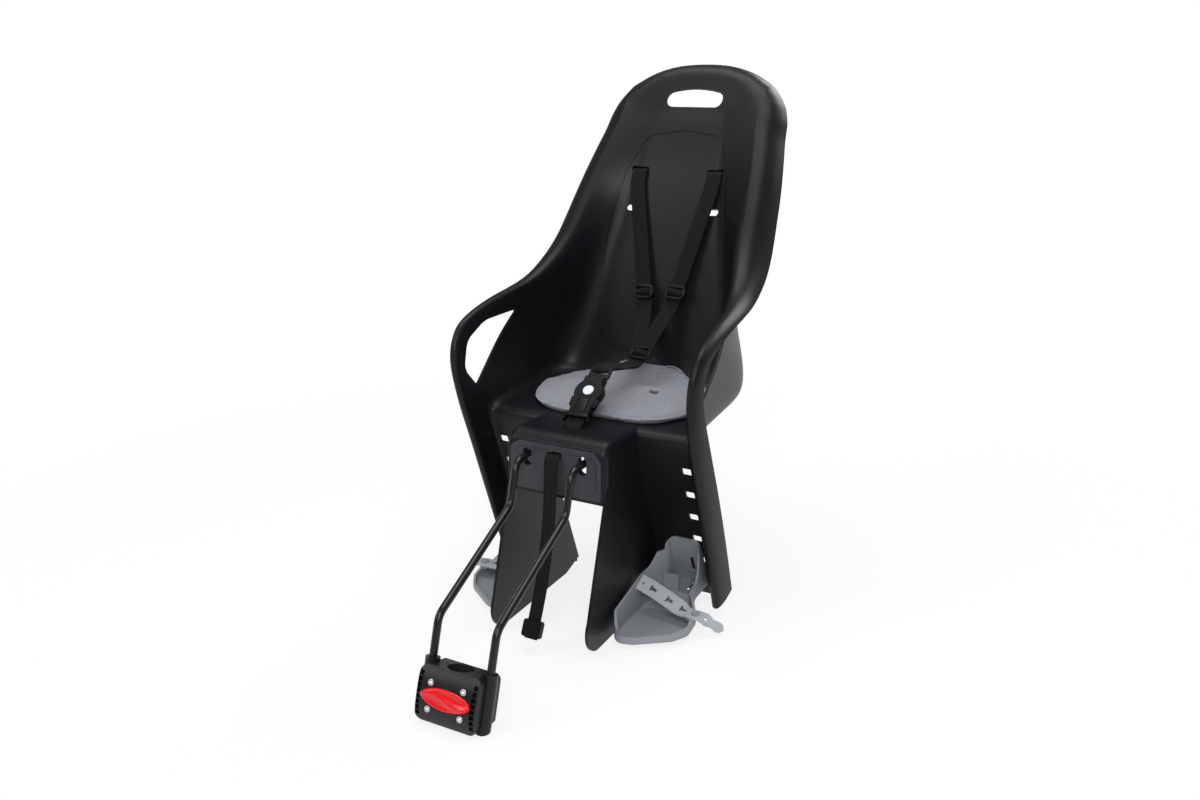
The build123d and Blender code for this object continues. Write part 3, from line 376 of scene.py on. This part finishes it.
def even_points(line, step):
    """Points at equal steps along a line."""
    run = lengths_along(line)
    fine, k = [], 0
    for i in range(int(run[-1] / step) + 1):
        d = min(i * step, run[-1])
        while k < len(run) - 2 and run[k + 1] < d:
            k += 1
        share = (d - run[k]) / max(run[k + 1] - run[k], tiny)
        fine.append(line[k].lerp(line[k + 1], share))
    return fine


def web_strap(name, route, wide=web_wide, front=(0, -1, 0), humps=()):
    """Woven strap along a smooth route, lifted over the bars that it passes."""
    line = smooth_route(route)
    line = [p for i, p in enumerate(line) if i == 0 or (p - line[i - 1]).length > web_join]
    fine = even_points(line, web_step)
    count = len(fine)
    marks = []
    for spot, high in humps:
        nearest = min(range(count), key=lambda i: (fine[i] - spot).length)
        marks.append((nearest * web_step, high))
    section = web_section(wide, web_thick)
    ring = len(section)
    verts, faces, uv_at = [], [], []
    right = Vector((1, 0, 0))
    for i, point in enumerate(fine):
        tangent = (fine[min(i + 1, count - 1)] - fine[max(i - 1, 0)]).normalized()
        right = (right - tangent * right.dot(tangent)).normalized()
        normal = right.cross(tangent)
        if i == 0:
            flip = 1 if normal.dot(Vector(front)) >= 0 else -1
        normal *= flip
        d, lift = i * web_step, 0.0
        for place, high in marks:
            reach = min(1, max(0, (abs(d - place) - hump_flat) / hump_slope))
            lift += high * (1 - ease(reach))
        for a, u in section:
            verts.append(point + right * a + normal * (u + lift))
            uv_at.append((a, d))
    for i in range(count - 1):
        for j in range(ring):
            k = (j + 1) % ring
            faces.append((i * ring + j, i * ring + k, (i + 1) * ring + k, (i + 1) * ring + j))
    faces += [tuple(range(ring))[::-1], tuple(range((count - 1) * ring, count * ring))]
    mesh = bpy.data.meshes.new(name)
    mesh.from_pydata(verts, [], faces if flip > 0 else [face[::-1] for face in faces])
    mesh.validate()
    uv = mesh.uv_layers.new(name="UVMap")
    for loop in mesh.loops:
        uv.data[loop.index].uv = uv_at[loop.vertex_index]
    cover(mesh, web_black)
    return linked(name, mesh), fine


def dress(obj, node, body="seat"):
    """Makes an object the visible form of a node."""
    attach(obj, body)
    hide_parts(node)


def route_mm(*points):
    return [at(*p) for p in points]


bar_lift = 0.0058
left_slider, right_slider, merge_slider = at(33, 323, 434), at(-23, 326, 430), at(5.6, 258.5, 347.8)
left_route = route_mm(
    (63.7, 407.4, 606.3),
    (63.7, 396, 611.5),
    (63.7, 391.4, 613.2),
    (63.7, 388.6, 609),
    (63.7, 381.5, 591.7),
    (57, 368.5, 557),
    (41, 338.5, 475.5),
    (33, 323, 434),
    (30, 317.4, 419),
    (27, 311, 408.5),
    (16, 284, 378),
    (5.6, 258.5, 347.8),
    (2.6, 250, 338.5),
    (0, 236, 333.6),
    (0, 200, 341.3),
    (0, 160, 349.4),
    (0, 148, 352.2),
    (0, 141.6, 355.6),
    (0, 137.2, 355),
    (0, 133.4, 350.9),
    (0, 134.0, 347.6),
    (0, 137.2, 346.7),
    (0, 142, 349.2),
    (0, 150, 349.6),
    (0, 166, 346.2),
    (0, 180, 343.3),
)
left_humps = [(left_slider, bar_lift), (merge_slider, bar_lift)]
left_strap, _ = web_strap("shoulder_web_left", left_route, front=(0, 0, 1), humps=left_humps)
dress(left_strap, "shoulder_strap_left")
right_route = route_mm(
    (-63.7, 407.4, 606.3),
    (-63.7, 396, 611.5),
    (-63.7, 391.4, 613.2),
    (-63.7, 388.6, 609),
    (-63.7, 381.5, 591.7),
    (-55, 369.5, 557),
    (-34, 341, 473.5),
    (-23, 326, 430),
    (-19.2, 320.8, 415),
    (-16.6, 315, 405),
    (-10, 290, 380),
    (-3.4, 262.4, 344.4),
    (-1.4, 252.5, 334.6),
    (0, 238, 331),
    (0, 214, 335.8),
)
right_humps = [(right_slider, bar_lift)]
right_strap, _ = web_strap("shoulder_web_right", right_route, front=(0, 0, 1), humps=right_humps)
dress(right_strap, "shoulder_strap_right")
crotch_route = route_mm((0, 50, 267), (0, 50, 279), (0, 50.4, 289), (0, 56, 293.2), (0, 65.6, 300.1))
crotch_web, _ = web_strap("crotch_web", crotch_route)
dress(crotch_web, "crotch_strap")

safety_wide = 0.02
safety_route = route_mm(
    (0, 14, 265.5),
    (0, 2, 265.5),
    (0, -7.5, 265.2),
    (0, -11.2, 260),
    (0, -12.4, 236),
    (0, -17, 176),
    (0, -30, 124),
    (0, -46, 72),
    (0, -72, 20),
)
safety_web, safety_line = web_strap("safety_web", safety_route, wide=safety_wide)
dress(safety_web, "safety_strap")

# Felt pad, swollen from its solid and then sewn
pad_cap, pad_voxel = 0.0022, 0.0034
pad_pressure, pad_frames = 4, 20
seam_inset, seam_depth, seam_half = 0.0065, 0.0011, 0.0013
fold_along, fold_bend, fold_sharp, fold_drop = -0.024, 0.9, 0.0009, 0.0032
crown_high, crown_reach = 0.0019, 0.028
pad_slot_x, pad_slot_half, pad_slot_low, pad_slot_high = 45, 8.5, -42, -34
pad_slot_levels = (-20, 200)
rim_steps = 10
pad_half = [(0, -109), (62, -109), (108, -95), (136, -60), (134, -24)]
pad_half += [(108, -4), (82, 6), (56, 22), (0, 26)]
pad_axes = leaning_axes(35)
pad_zero = at(0, 305, 288)


def pad_rim():
    """Closed smooth outline of the pad, across and along the seat in metres."""
    ring = pad_half + [(-x, s) for x, s in reversed(pad_half[1:-1])]
    line, count = [], len(ring)
    for i in range(count):
        a, b, c, d = (Vector(ring[(i + k) % count]) / 1000 for k in (-1, 0, 1, 2))
        bend, twist = a * 2 - b * 5 + c * 4 - d, b * 3 - a - c * 3 + d
        for step in range(rim_steps):
            f = step / rim_steps
            line.append(b + (c - a) * (f / 2) + bend * (f * f / 2) + twist * (f**3 / 2))
    return line


def rim_depth(places, rim):
    """How far inside the outline each place lies."""
    near = np.full(len(places), 9.0)
    inside = np.zeros(len(places), dtype=bool)
    for a, b in zip(rim, rim[1:] + rim[:1]):
        run = np.array(b - a)
        share = np.clip(((places - np.array(a)) @ run) / max(run @ run, 1e-12), 0, 1)
        near = np.minimum(near, np.linalg.norm(places - np.array(a) - share[:, None] * run, axis=1))
        crosses = (a.y > places[:, 1]) != (b.y > places[:, 1])
        rise = run[1] if abs(run[1]) > 1e-12 else 1e-12
        inside ^= crosses & (places[:, 0] < a.x + run[0] * (places[:, 1] - a.y) / rise)
    return np.where(inside, near, -near)


def sew(mesh):
    """Presses the border seam and the fold of the rear flap into the top of the pad."""
    count = len(mesh.vertices)
    spots, normals = np.empty(count * 3), np.empty(count * 3)
    mesh.vertices.foreach_get("co", spots)
    mesh.vertices.foreach_get("normal", normals)
    spots, normals = spots.reshape(-1, 3), normals.reshape(-1, 3)
    local = spots - np.array(pad_zero)
    places = np.stack([local @ np.array(pad_axes[0]), local @ np.array(pad_axes[1])], axis=1)
    top = np.clip((normals @ np.array(pad_axes[2])) * 2, 0, 1)
    depth = rim_depth(places, pad_rim())
    seam = seam_depth * np.exp(-(((depth - seam_inset) / seam_half) ** 2))
    ahead = fold_along - fold_bend * places[:, 0] ** 2 - places[:, 1]
    behind = 1 / (1 + np.exp(np.clip(ahead / fold_sharp, -60, 60)))
    crown = crown_high * np.exp(-((ahead / crown_reach) ** 2))
    fold = behind * fold_drop - (1 - behind) * crown
    spots -= normals * (top * (seam + fold))[:, None]
    mesh.vertices.foreach_set("co", spots.ravel())
    mesh.update()


def block_mesh(name, corners, low, high, axes, zero):
    """Straight block on an outline in millimetres, in its own axes."""
    shape = bmesh.new()
    rings = []
    for level in (low, high):
        ring = []
        for u, v in corners:
            ring.append(shape.verts.new(zero + (axes[0] * u + axes[1] * v + axes[2] * level) / 1000))
        rings.append(ring)
    shape.faces.new(rings[0][::-1])
    shape.faces.new(rings[1])
    count = len(corners)
    for k in range(count):
        shape.faces.new((rings[0][k], rings[0][(k + 1) % count], rings[1][(k + 1) % count], rings[1][k]))
    bmesh.ops.recalc_face_normals(shape, faces=shape.faces[:])
    mesh = bpy.data.meshes.new(name)
    shape.to_mesh(mesh)
    shape.free()
    return mesh


def cut_slot(pad, side):
    """Cuts one harness slot through the pad."""
    left, right = side * pad_slot_x - pad_slot_half, side * pad_slot_x + pad_slot_half
    corners = [(left, pad_slot_low), (right, pad_slot_low), (right, pad_slot_high), (left, pad_slot_high)]
    tool = linked("slot", block_mesh("slot", corners, *pad_slot_levels, pad_axes, pad_zero))
    cut = pad.modifiers.new("slot", "BOOLEAN")
    cut.object = tool
    cut.operation = "DIFFERENCE"
    cut.solver = "EXACT"
    applied(pad)
    bpy.data.objects.remove(tool)


def make_pad():
    """The pad's solid in even faces, swollen by pressure within a cap, sewn and slotted."""
    pad = linked("felt_pad", nodes["seat_pad"].data.copy())
    remesh = pad.modifiers.new("remesh", "REMESH")
    remesh.mode = "VOXEL"
    remesh.voxel_size = pad_voxel
    mesh = applied(pad)
    rest = [v.co.copy() for v in mesh.vertices]
    cloth = pad.modifiers.new("cloth", "CLOTH")
    cloth.settings.use_pressure = True
    cloth.settings.uniform_pressure_force = pad_pressure
    cloth.settings.effector_weights.gravity = 0
    cloth.point_cache.frame_start, cloth.point_cache.frame_end = 1, pad_frames
    for number in range(1, pad_frames + 1):
        scene.frame_set(number)
    graph = bpy.context.evaluated_depsgraph_get()
    swollen = bpy.data.meshes.new_from_object(pad.evaluated_get(graph))
    moved = [v.co.copy() for v in swollen.vertices]
    pad.modifiers.clear()
    scene.frame_set(1)
    bpy.data.meshes.remove(swollen)
    for vert, old, new in zip(mesh.vertices, rest, moved):
        step = new - old
        vert.co = old + step * min(1, pad_cap / max(step.length, tiny))
    refine = pad.modifiers.new("refine", "SUBSURF")
    refine.levels = refine.render_levels = 1
    sew(applied(pad))
    for side in (-1, 1):
        cut_slot(pad, side)
    cover(pad.data, felt_grey)
    return pad


felt_pad = make_pad()
dress(felt_pad, "seat_pad")


thread_sides = 6
thread_profile = ((0, 0.35), (0.2, 0.9), (0.5, 1.0), (0.8, 0.9), (1, 0.35))
stitch_long, stitch_pitch, stitch_radius = 0.0026, 0.0038, 0.00032


def add_stitch(verts, faces, start, end, up):
    """Adds one stitch: a short thread whose ends taper and dip into the felt."""
    along = (end - start).normalized()
    side = along.cross(up).normalized()
    first, rings = len(verts), len(thread_profile)
    for share, width in thread_profile:
        sunk = 0.9 if share in (0, 1) else 0.2
        middle = start.lerp(end, share) - up * stitch_radius * sunk
        for k in range(thread_sides):
            turn = 2 * math.pi * k / thread_sides
            verts.append(middle + (side * math.cos(turn) + up * math.sin(turn)) * stitch_radius * width)
    for r in range(rings - 1):
        row = first + r * thread_sides
        for k in range(thread_sides):
            low, high = row + k, row + (k + 1) % thread_sides
            faces.append((low, high, high + thread_sides, low + thread_sides))
    last = first + (rings - 1) * thread_sides
    faces.append(tuple(first + k for k in reversed(range(thread_sides))))
    faces.append(tuple(last + k for k in range(thread_sides)))


def stitch_row(name, line, material):
    """One object with a stitch at every step along a line of points with their normals."""
    verts, faces = [], []
    run, due = 0.0, 0.0
    for (a, up), (b, _) in zip(line, line[1:]):
        span = (b - a).length
        half = (b - a).normalized() * stitch_long / 2
        while due < run + span:
            spot = a.lerp(b, (due - run) / max(span, tiny))
            add_stitch(verts, faces, spot - half, spot + half, up)
            due += stitch_pitch
        run += span
    mesh = bpy.data.meshes.new(name)
    mesh.from_pydata(verts, [], faces)
    cover(mesh, material)
    return linked(name, mesh)


def pad_seam():
    """Points of the border seam on the top of the pad, with the pad's normals there."""
    rim = pad_rim()
    count = len(rim)
    tree = surface_tree(felt_pad.data)
    line = []
    for i in range(count + 1):
        here = rim[i % count]
        along = (rim[(i + 1) % count] - rim[(i - 1) % count]).normalized()
        spot = here + Vector((-along.y, along.x)) * seam_inset
        start = pad_zero + pad_axes[0] * spot.x + pad_axes[1] * spot.y + pad_axes[2] * 0.4
        hit, normal, _, _ = tree.ray_cast(start, -pad_axes[2])
        if hit is not None:
            line.append((hit, normal))
    return line


thread_grey = plastic("thread_grey", (0.2, 0.2, 0.21), 0.7, grain=4000.0)
pad_stitches = stitch_row("pad_stitches", pad_seam(), thread_grey)
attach(pad_stitches, "seat")


# Rubber foot straps with their keyhole slots
strap_thick, strap_round = 0.0024, 0.0005
strap_cut, strap_rows = 2.5, (-8, -4, 0, 4, 8)
strap_twist, twist_flat, twist_slope = math.radians(42), 0.009, 0.02
key_places = (24, 52, 76)
root_place, root_hole = 7, 1.5
stud_spot, stud_hole = (178.5, 84, 27.35), 3.6
tail_gap, tail_hole = 15.5, 3.1
strap_spine = [
    (88.5, 87, 57), (104, 86.6, 53), (128, 85.4, 43.5), (150, 84.4, 34.2), (164, 84, 28.2),
    (171, 84, 27.35), (178.5, 84, 27.35), (186, 84, 27.2), (195, 85, 23.2), (206, 88.4, 15.6),
    (218, 93, 8.6),
]
strap_half = [(0, 12), (14, 12), (60, 12), (104, 12), (112, 11.6), (118, 8.6), (122, 6.2), (126, 6.4)]
strap_half += [(131, 7.8), (136, 7.2), (140, 4.6), (142, 0)]


def keyhole(c):
    """Corners of a slot with a short bar across one end, along and across the strap."""
    bar = [(c - 5, -4.6), (c - 2.4, -4.6), (c - 2.4, -2.2)]
    tip = [(c + 4, -2.2), (c + 5.5, -1.4), (c + 6, 0), (c + 5.5, 1.4), (c + 4, 2.2)]
    return bar + tip + [(u, -v) for u, v in reversed(bar)]


def round_hole(c, r, count=20):
    turns = [2 * math.pi * k / count for k in range(count)]
    return [(c + r * math.cos(a), r * math.sin(a)) for a in turns]


def foot_strap(name, side):
    """Flat rubber strip cut to its outline, bent over the tray and flat on its stud."""
    line = smooth_route([at(side * x, y, z) for x, y, z in strap_spine])
    run = lengths_along(line)
    full = run[-1]
    stud = at(side * stud_spot[0], *stud_spot[1:])
    stud_at = run[min(range(len(line)), key=lambda i: (line[i] - stud).length)]
    edge = smooth_route([Vector((u, v, 0)) for u, v in strap_half])
    stretch = full * 1000 / strap_half[-1][0]
    rim = [(p.x * stretch, p.y) for p in edge] + [(p.x * stretch, -p.y) for p in reversed(edge[:-1])]
    holes = [keyhole(c) for c in key_places] + [round_hole(root_place, root_hole)]
    holes += [round_hole(stud_at * 1000, stud_hole), round_hole(stud_at * 1000 + tail_gap, tail_hole)]
    flat = bmesh.new()
    for loop in [rim] + holes:
        ring = [flat.verts.new((u, v, 0)) for u, v in loop]
        for a, b in zip(ring, ring[1:] + ring[:1]):
            flat.edges.new((a, b))
    bounds = flat.edges[:]
    bmesh.ops.triangle_fill(flat, use_beauty=True, use_dissolve=False, edges=bounds, normal=(0, 0, 1))
    for k in range(1, int(full * 1000 / strap_cut)):
        slice_mesh(flat, (k * strap_cut, 0, 0), (1, 0, 0))
    for v in strap_rows:
        slice_mesh(flat, (0, v, 0), (0, 1, 0))
    for vert in flat.verts:
        d = min(max(vert.co.x / 1000, 0), full)
        k = max(i for i in range(len(run) - 1) if run[i] <= d + tiny)
        point = line[k].lerp(line[k + 1], (d - run[k]) / max(run[k + 1] - run[k], tiny))
        tangent = (line[min(k + 2, len(line) - 1)] - line[max(k - 1, 0)]).normalized()
        tilt = strap_twist * ease(min(1, max(0, (abs(d - stud_at) - twist_flat) / twist_slope)))
        across = Vector((0, math.cos(tilt), math.sin(tilt)))
        across = (across - tangent * across.dot(tangent)).normalized()
        vert.co = point + across * (vert.co.y / 1000)
    bmesh.ops.recalc_face_normals(flat, faces=flat.faces[:])
    mesh = bpy.data.meshes.new(name)
    flat.to_mesh(mesh)
    flat.free()
    strip = linked(name, mesh)
    thick = strip.modifiers.new("thick", "SOLIDIFY")
    thick.thickness = strap_thick
    thick.offset = 0
    whole = rounded(strip, strap_round, 2, 50)
    cover(whole, strap_grey)
    whole.set_sharp_from_angle(angle=sharp_angle)
    return strip


for side, name in ((1, "left"), (-1, "right")):
    strip = foot_strap(f"foot_strip_{name}", side)
    dress(strip, f"foot_strap_{name}", f"{name}_footrest")

# Moulded details
def finish_piece(name, mesh, material, body, bevel=0.0):
    """Links a mesh as a piece of a body, with its edges rounded."""
    obj = linked(name, mesh)
    if bevel:
        rounded(obj, bevel, 3, 35)
    cover(obj.data, material)
    obj.data.set_sharp_from_angle(angle=sharp_angle)
    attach(obj, body)
    return obj


def ring_mesh(name, middle, axes, radius, wide, high):
    """Flat ring with a round top."""
    turns, steps = 64, 10
    verts, faces = [], []
    for i in range(turns):
        a = 2 * math.pi * i / turns
        out = axes[0] * math.cos(a) + axes[1] * math.sin(a)
        for k in range(steps):
            b = 2 * math.pi * k / steps
            outward, upward = out * (radius + wide * math.cos(b)), axes[2] * (high * math.sin(b))
            verts.append(middle + outward / 1000 + upward / 1000)
    for i in range(turns):
        for k in range(steps):
            j, m = (i + 1) % turns, (k + 1) % steps
            faces.append((i * steps + k, j * steps + k, j * steps + m, i * steps + m))
    mesh = bpy.data.meshes.new(name)
    mesh.from_pydata(verts, [], faces)
    return mesh


# Rings round the press button, then raised face, foot, wings and side clips of the harness buckle
buckle_axes = leaning_axes(53)
buckle_zero = at(0, 96, 323)
press_along, press_out = 6, 6.4
press_middle = buckle_zero + (buckle_axes[1] * press_along + buckle_axes[2] * press_out) / 1000
for name, radius, wide, high in (("buckle_ring", 14.6, 1.5, 0.9), ("buckle_lip", 9.6, 0.7, 0.7)):
    mesh = ring_mesh(name, press_middle, buckle_axes, radius, wide, high)
    finish_piece(name, mesh, trim_black, "seat")
# Name, corners across and along the buckle, lower and upper level, edge radius
buckle_blocks = [
    ("buckle_face", [(-8, -9.5), (8, -9.5), (10.6, -34), (-10.6, -34)], 6, 8.2, 0.0009),
    ("buckle_foot", [(-17, -33.4), (17, -33.4), (18, -40), (-18, -40)], 1.3, 7.4, 0.0012),
]
wing = [(15.4, -37), (18, -37), (19.6, -46.5), (17.6, -46.5)]
clip = [(17.2, -6), (21.6, -6), (20.4, -21), (15.4, -21)]
for side, name in ((1, "left"), (-1, "right")):
    wing_corners, clip_corners = ([(side * u, v) for u, v in corners][::side] for corners in (wing, clip))
    buckle_blocks.append((f"buckle_wing_{name}", wing_corners, -2.6, 5.4, 0.0008))
    buckle_blocks.append((f"buckle_clip_{name}", clip_corners, -2.4, 5.2, 0.001))
for name, corners, low, high, bevel in buckle_blocks:
    mesh = block_mesh(name, corners, low, high, buckle_axes, buckle_zero)
    finish_piece(name, mesh, trim_black, "seat", bevel)

# Red grip of the release button, with its winding ridge
grip_axes = leaning_axes(17.6)
grip_zero = at(0, -243.6, 30.6)
grip_long, grip_short, grip_low, grip_floor = 36.2, 13.2, 24.0, 28.7
ridge_high, ridge_half, ridge_swing, ridge_span = 2.7, 4.6, 4.8, 46
rim_high, rim_from = 1.3, 0.62
dish_deep, dish_p, dish_q, dish_long, dish_short = 1.1, -7, 1, 11, 5
edge_drop, edge_from = 3.4, 0.84


def grip_level(p, q, rho):
    """Height of the grip: round rim, a ridge that winds from end to end and a shallow dish."""
    swing = math.sin(math.pi * p / ridge_span)
    level = grip_floor + ridge_high * math.exp(-(((q + ridge_swing * swing) / ridge_half) ** 2))
    level += rim_high * max(0, (rho - rim_from) / (1 - rim_from)) * (1 - abs(swing) * 0.5)
    level -= dish_deep * math.exp(-(((p - dish_p) / dish_long) ** 2) - ((q - dish_q) / dish_short) ** 2)
    if rho > edge_from:
        level -= edge_drop * (1 - math.sqrt(max(0, 1 - ((rho - edge_from) / (1 - edge_from)) ** 2)))
    return level


def grip_mesh():
    """Oval grip in rings from its middle, closed by a flat underside."""
    turns, rings = 120, 26
    verts, faces = [], []

    def put(p, q, level):
        verts.append(grip_zero + (grip_axes[0] * p + grip_axes[1] * q + grip_axes[2] * level) / 1000)

    put(0, 0, grip_level(0, 0, 0))
    for r in range(1, rings + 1):
        rho = (r / rings) ** 0.8
        for i in range(turns):
            a = 2 * math.pi * i / turns
            p, q = grip_long * rho * math.cos(a), grip_short * rho * math.sin(a)
            put(p, q, grip_level(p, q, rho))
    for i in range(turns):
        a = 2 * math.pi * i / turns
        put(grip_long * math.cos(a), grip_short * math.sin(a), grip_low)
    for i in range(turns):
        faces.append((0, 1 + i, 1 + (i + 1) % turns))
    for r in range(rings):
        for i in range(turns):
            a, b = 1 + r * turns + i, 1 + r * turns + (i + 1) % turns
            faces.append((a, a + turns, b + turns, b))
    faces.append(tuple(1 + rings * turns + i for i in reversed(range(turns))))
    mesh = bpy.data.meshes.new("release_grip")
    mesh.from_pydata(verts, [], faces)
    return mesh


# Bow of the clamp's front face, in its solid and here, and the liner seat behind it
front_out, front_half, seat_r = 28, 35, 17.95
solid_bow, solid_power, front_bow, front_power = 6, 2, 9.8, 2.2
bow_rows, bow_step = 13, 0.0025


def bow_front():
    """Front half of the clamp with its face bowed further back towards both ends."""
    shape = bmesh.new()
    shape.from_mesh(nodes["block_front"].data)
    for k in range(-bow_rows, bow_rows + 1):
        slice_mesh(shape, grip_zero + grip_axes[1] * (k * bow_step), grip_axes[1])
    for vert in shape.verts:
        local = (vert.co - grip_zero) * 1000
        up, out = local.dot(grip_axes[1]), local.dot(grip_axes[2])
        if out > seat_r:
            share = min(1, abs(up) / front_half)
            solid = front_out - solid_bow * share**solid_power
            bowed = front_out - front_bow * share**front_power
            grow = (bowed - seat_r) / (solid - seat_r) - 1
            vert.co += grip_axes[2] * ((out - seat_r) * grow / 1000)
    bmesh.ops.recalc_face_normals(shape, faces=shape.faces[:])
    mesh = bpy.data.meshes.new("clamp_front")
    shape.to_mesh(mesh)
    shape.free()
    return mesh


clamp_front = finish_piece("clamp_front", bow_front(), block_black, "seat")
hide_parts("block_front")
release_grip = finish_piece("release_grip", grip_mesh(), red_gloss, "release_press")
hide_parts("release_button")

# Two beads moulded round the fork plate, laid on the nose
shell_tree = surface_tree(nodes["seat_shell"].data)
plate_half, plate_top, plate_foot, plate_turn = 71, 278, 212, 18
ray_from, ray_limit = -100, 16


def bead_path(gap):
    """Points of the nose beside the outline of the plate, from foot to foot over its top."""
    half, top, turn = plate_half + gap, plate_top + gap, plate_turn + gap
    flat = [(-half, plate_foot + (top - turn - plate_foot) * k / 14) for k in range(14)]
    for a in np.linspace(0, math.pi / 2, 14):
        flat.append((-half + turn - turn * math.cos(a), top - turn + turn * math.sin(a)))
    flat += [(-half + turn + (half - turn) * k / 20, top) for k in range(1, 21)]
    flat += [(-x, z) for x, z in reversed(flat[:-1])]
    line = []
    for x, z in flat:
        hit, _, _, _ = shell_tree.ray_cast(at(x, ray_from, z), Vector((0, 1, 0)))
        if hit is not None and hit.y < at(0, ray_limit, 0).y:
            line.append(hit)
    return line


def bead(name, line, radius):
    """Round bead along a line of points, half sunk in the surface below."""
    curve = bpy.data.curves.new(name, "CURVE")
    curve.dimensions = "3D"
    curve.bevel_depth = radius
    curve.bevel_resolution = 3
    curve.use_fill_caps = True
    spline = curve.splines.new("POLY")
    spline.points.add(len(line) - 1)
    for target, point in zip(spline.points, line):
        target.co = (*point, 1)
    holder = bpy.data.objects.new(name, curve)
    mesh = bpy.data.meshes.new_from_object(holder)
    bpy.data.objects.remove(holder)
    bpy.data.curves.remove(curve)
    return mesh


for name, gap, radius in (("nose_bead_inner", 1.6, 0.0009), ("nose_bead_outer", 4.6, 0.0012)):
    finish_piece(name, bead(name, bead_path(gap), radius), shell_black, "seat")

# Floor and light
floor_mesh = bpy.data.meshes.new("floor")
floor_mesh.from_pydata([(-14, -14, 0), (14, -14, 0), (14, 14, 0), (-14, 14, 0)], [], [(0, 1, 2, 3)])
floor = bpy.data.objects.new("floor", floor_mesh)
floor.location.z = -0.0005
scene.collection.objects.link(floor)
mat, tree, shader = new_material("floor_white")
shader.inputs["Base Color"].default_value = (0.86, 0.86, 0.86, 1)
shader.inputs["Roughness"].default_value = 0.9
shader.inputs["Specular IOR Level"].default_value = 0.0
rays = tree.nodes.new("ShaderNodeLightPath")
glow = tree.nodes.new("ShaderNodeEmission")
glow.inputs["Color"].default_value = (1, 1, 1, 1)
glow.inputs["Strength"].default_value = 1.0
away = tree.nodes.new("ShaderNodeVectorMath")
away.operation = "LENGTH"
link(tree, object_coords(tree), away.inputs[0])
fade = range_node(tree, away.outputs["Value"], 0.8, 1.0)
fade.inputs["From Min"].default_value = 0.45
fade.inputs["From Max"].default_value = 1.3
seen = math_node(tree, "MAXIMUM", rays.outputs["Is Camera Ray"], rays.outputs["Is Transmission Ray"])
mirrored = math_node(tree, "MAXIMUM", seen, rays.outputs["Is Glossy Ray"])
share = math_node(tree, "MULTIPLY", mirrored, fade.outputs["Result"])
mixed = tree.nodes.new("ShaderNodeMixShader")
link(tree, share, mixed.inputs["Fac"])
link(tree, shader.outputs["BSDF"], mixed.inputs[1])
link(tree, glow.outputs["Emission"], mixed.inputs[2])
link(tree, mixed.outputs["Shader"], tree.nodes["Material Output"].inputs["Surface"])
floor_mesh.materials.append(mat)

world = bpy.data.worlds.new("studio")
scene.world = world
world.use_nodes = True
tree = world.node_tree
backdrop = tree.nodes["Background"]
backdrop.inputs["Color"].default_value = (0.9, 0.92, 0.95, 1)
backdrop.inputs["Strength"].default_value = 0.22
white = tree.nodes.new("ShaderNodeBackground")
white.inputs["Color"].default_value = (1, 1, 1, 1)
white.inputs["Strength"].default_value = 1.0
rays = tree.nodes.new("ShaderNodeLightPath")
mixed = tree.nodes.new("ShaderNodeMixShader")
link(tree, rays.outputs["Is Camera Ray"], mixed.inputs["Fac"])
link(tree, backdrop.outputs["Background"], mixed.inputs[1])
link(tree, white.outputs["Background"], mixed.inputs[2])
link(tree, mixed.outputs["Shader"], tree.nodes["World Output"].inputs["Surface"])


def lamp(name, place, aim, size, power):
    data = bpy.data.lights.new(name, "AREA")
    data.shape = "RECTANGLE"
    data.size, data.size_y = size
    data.energy = power
    obj = bpy.data.objects.new(name, data)
    obj.location = place
    obj.rotation_euler = (Vector(aim) - Vector(place)).to_track_quat("-Z", "Y").to_euler()
    scene.collection.objects.link(obj)


lamp("key", (-1.7, -1.9, 2.2), (0, 0, 0.4), (1.2, 1.6), 24)
lamp("fill", (1.3, -2.5, 2.2), (0, 0, 0.4), (1.2, 1.8), 56)
lamp("top", (0.0, 0.2, 2.6), (0, 0, 0.3), (2.2, 1.6), 40)
lamp("rim", (0.6, 2.2, 1.6), (0, 0, 0.5), (1.6, 1.0), 22)

scene.view_settings.view_transform = "Standard"
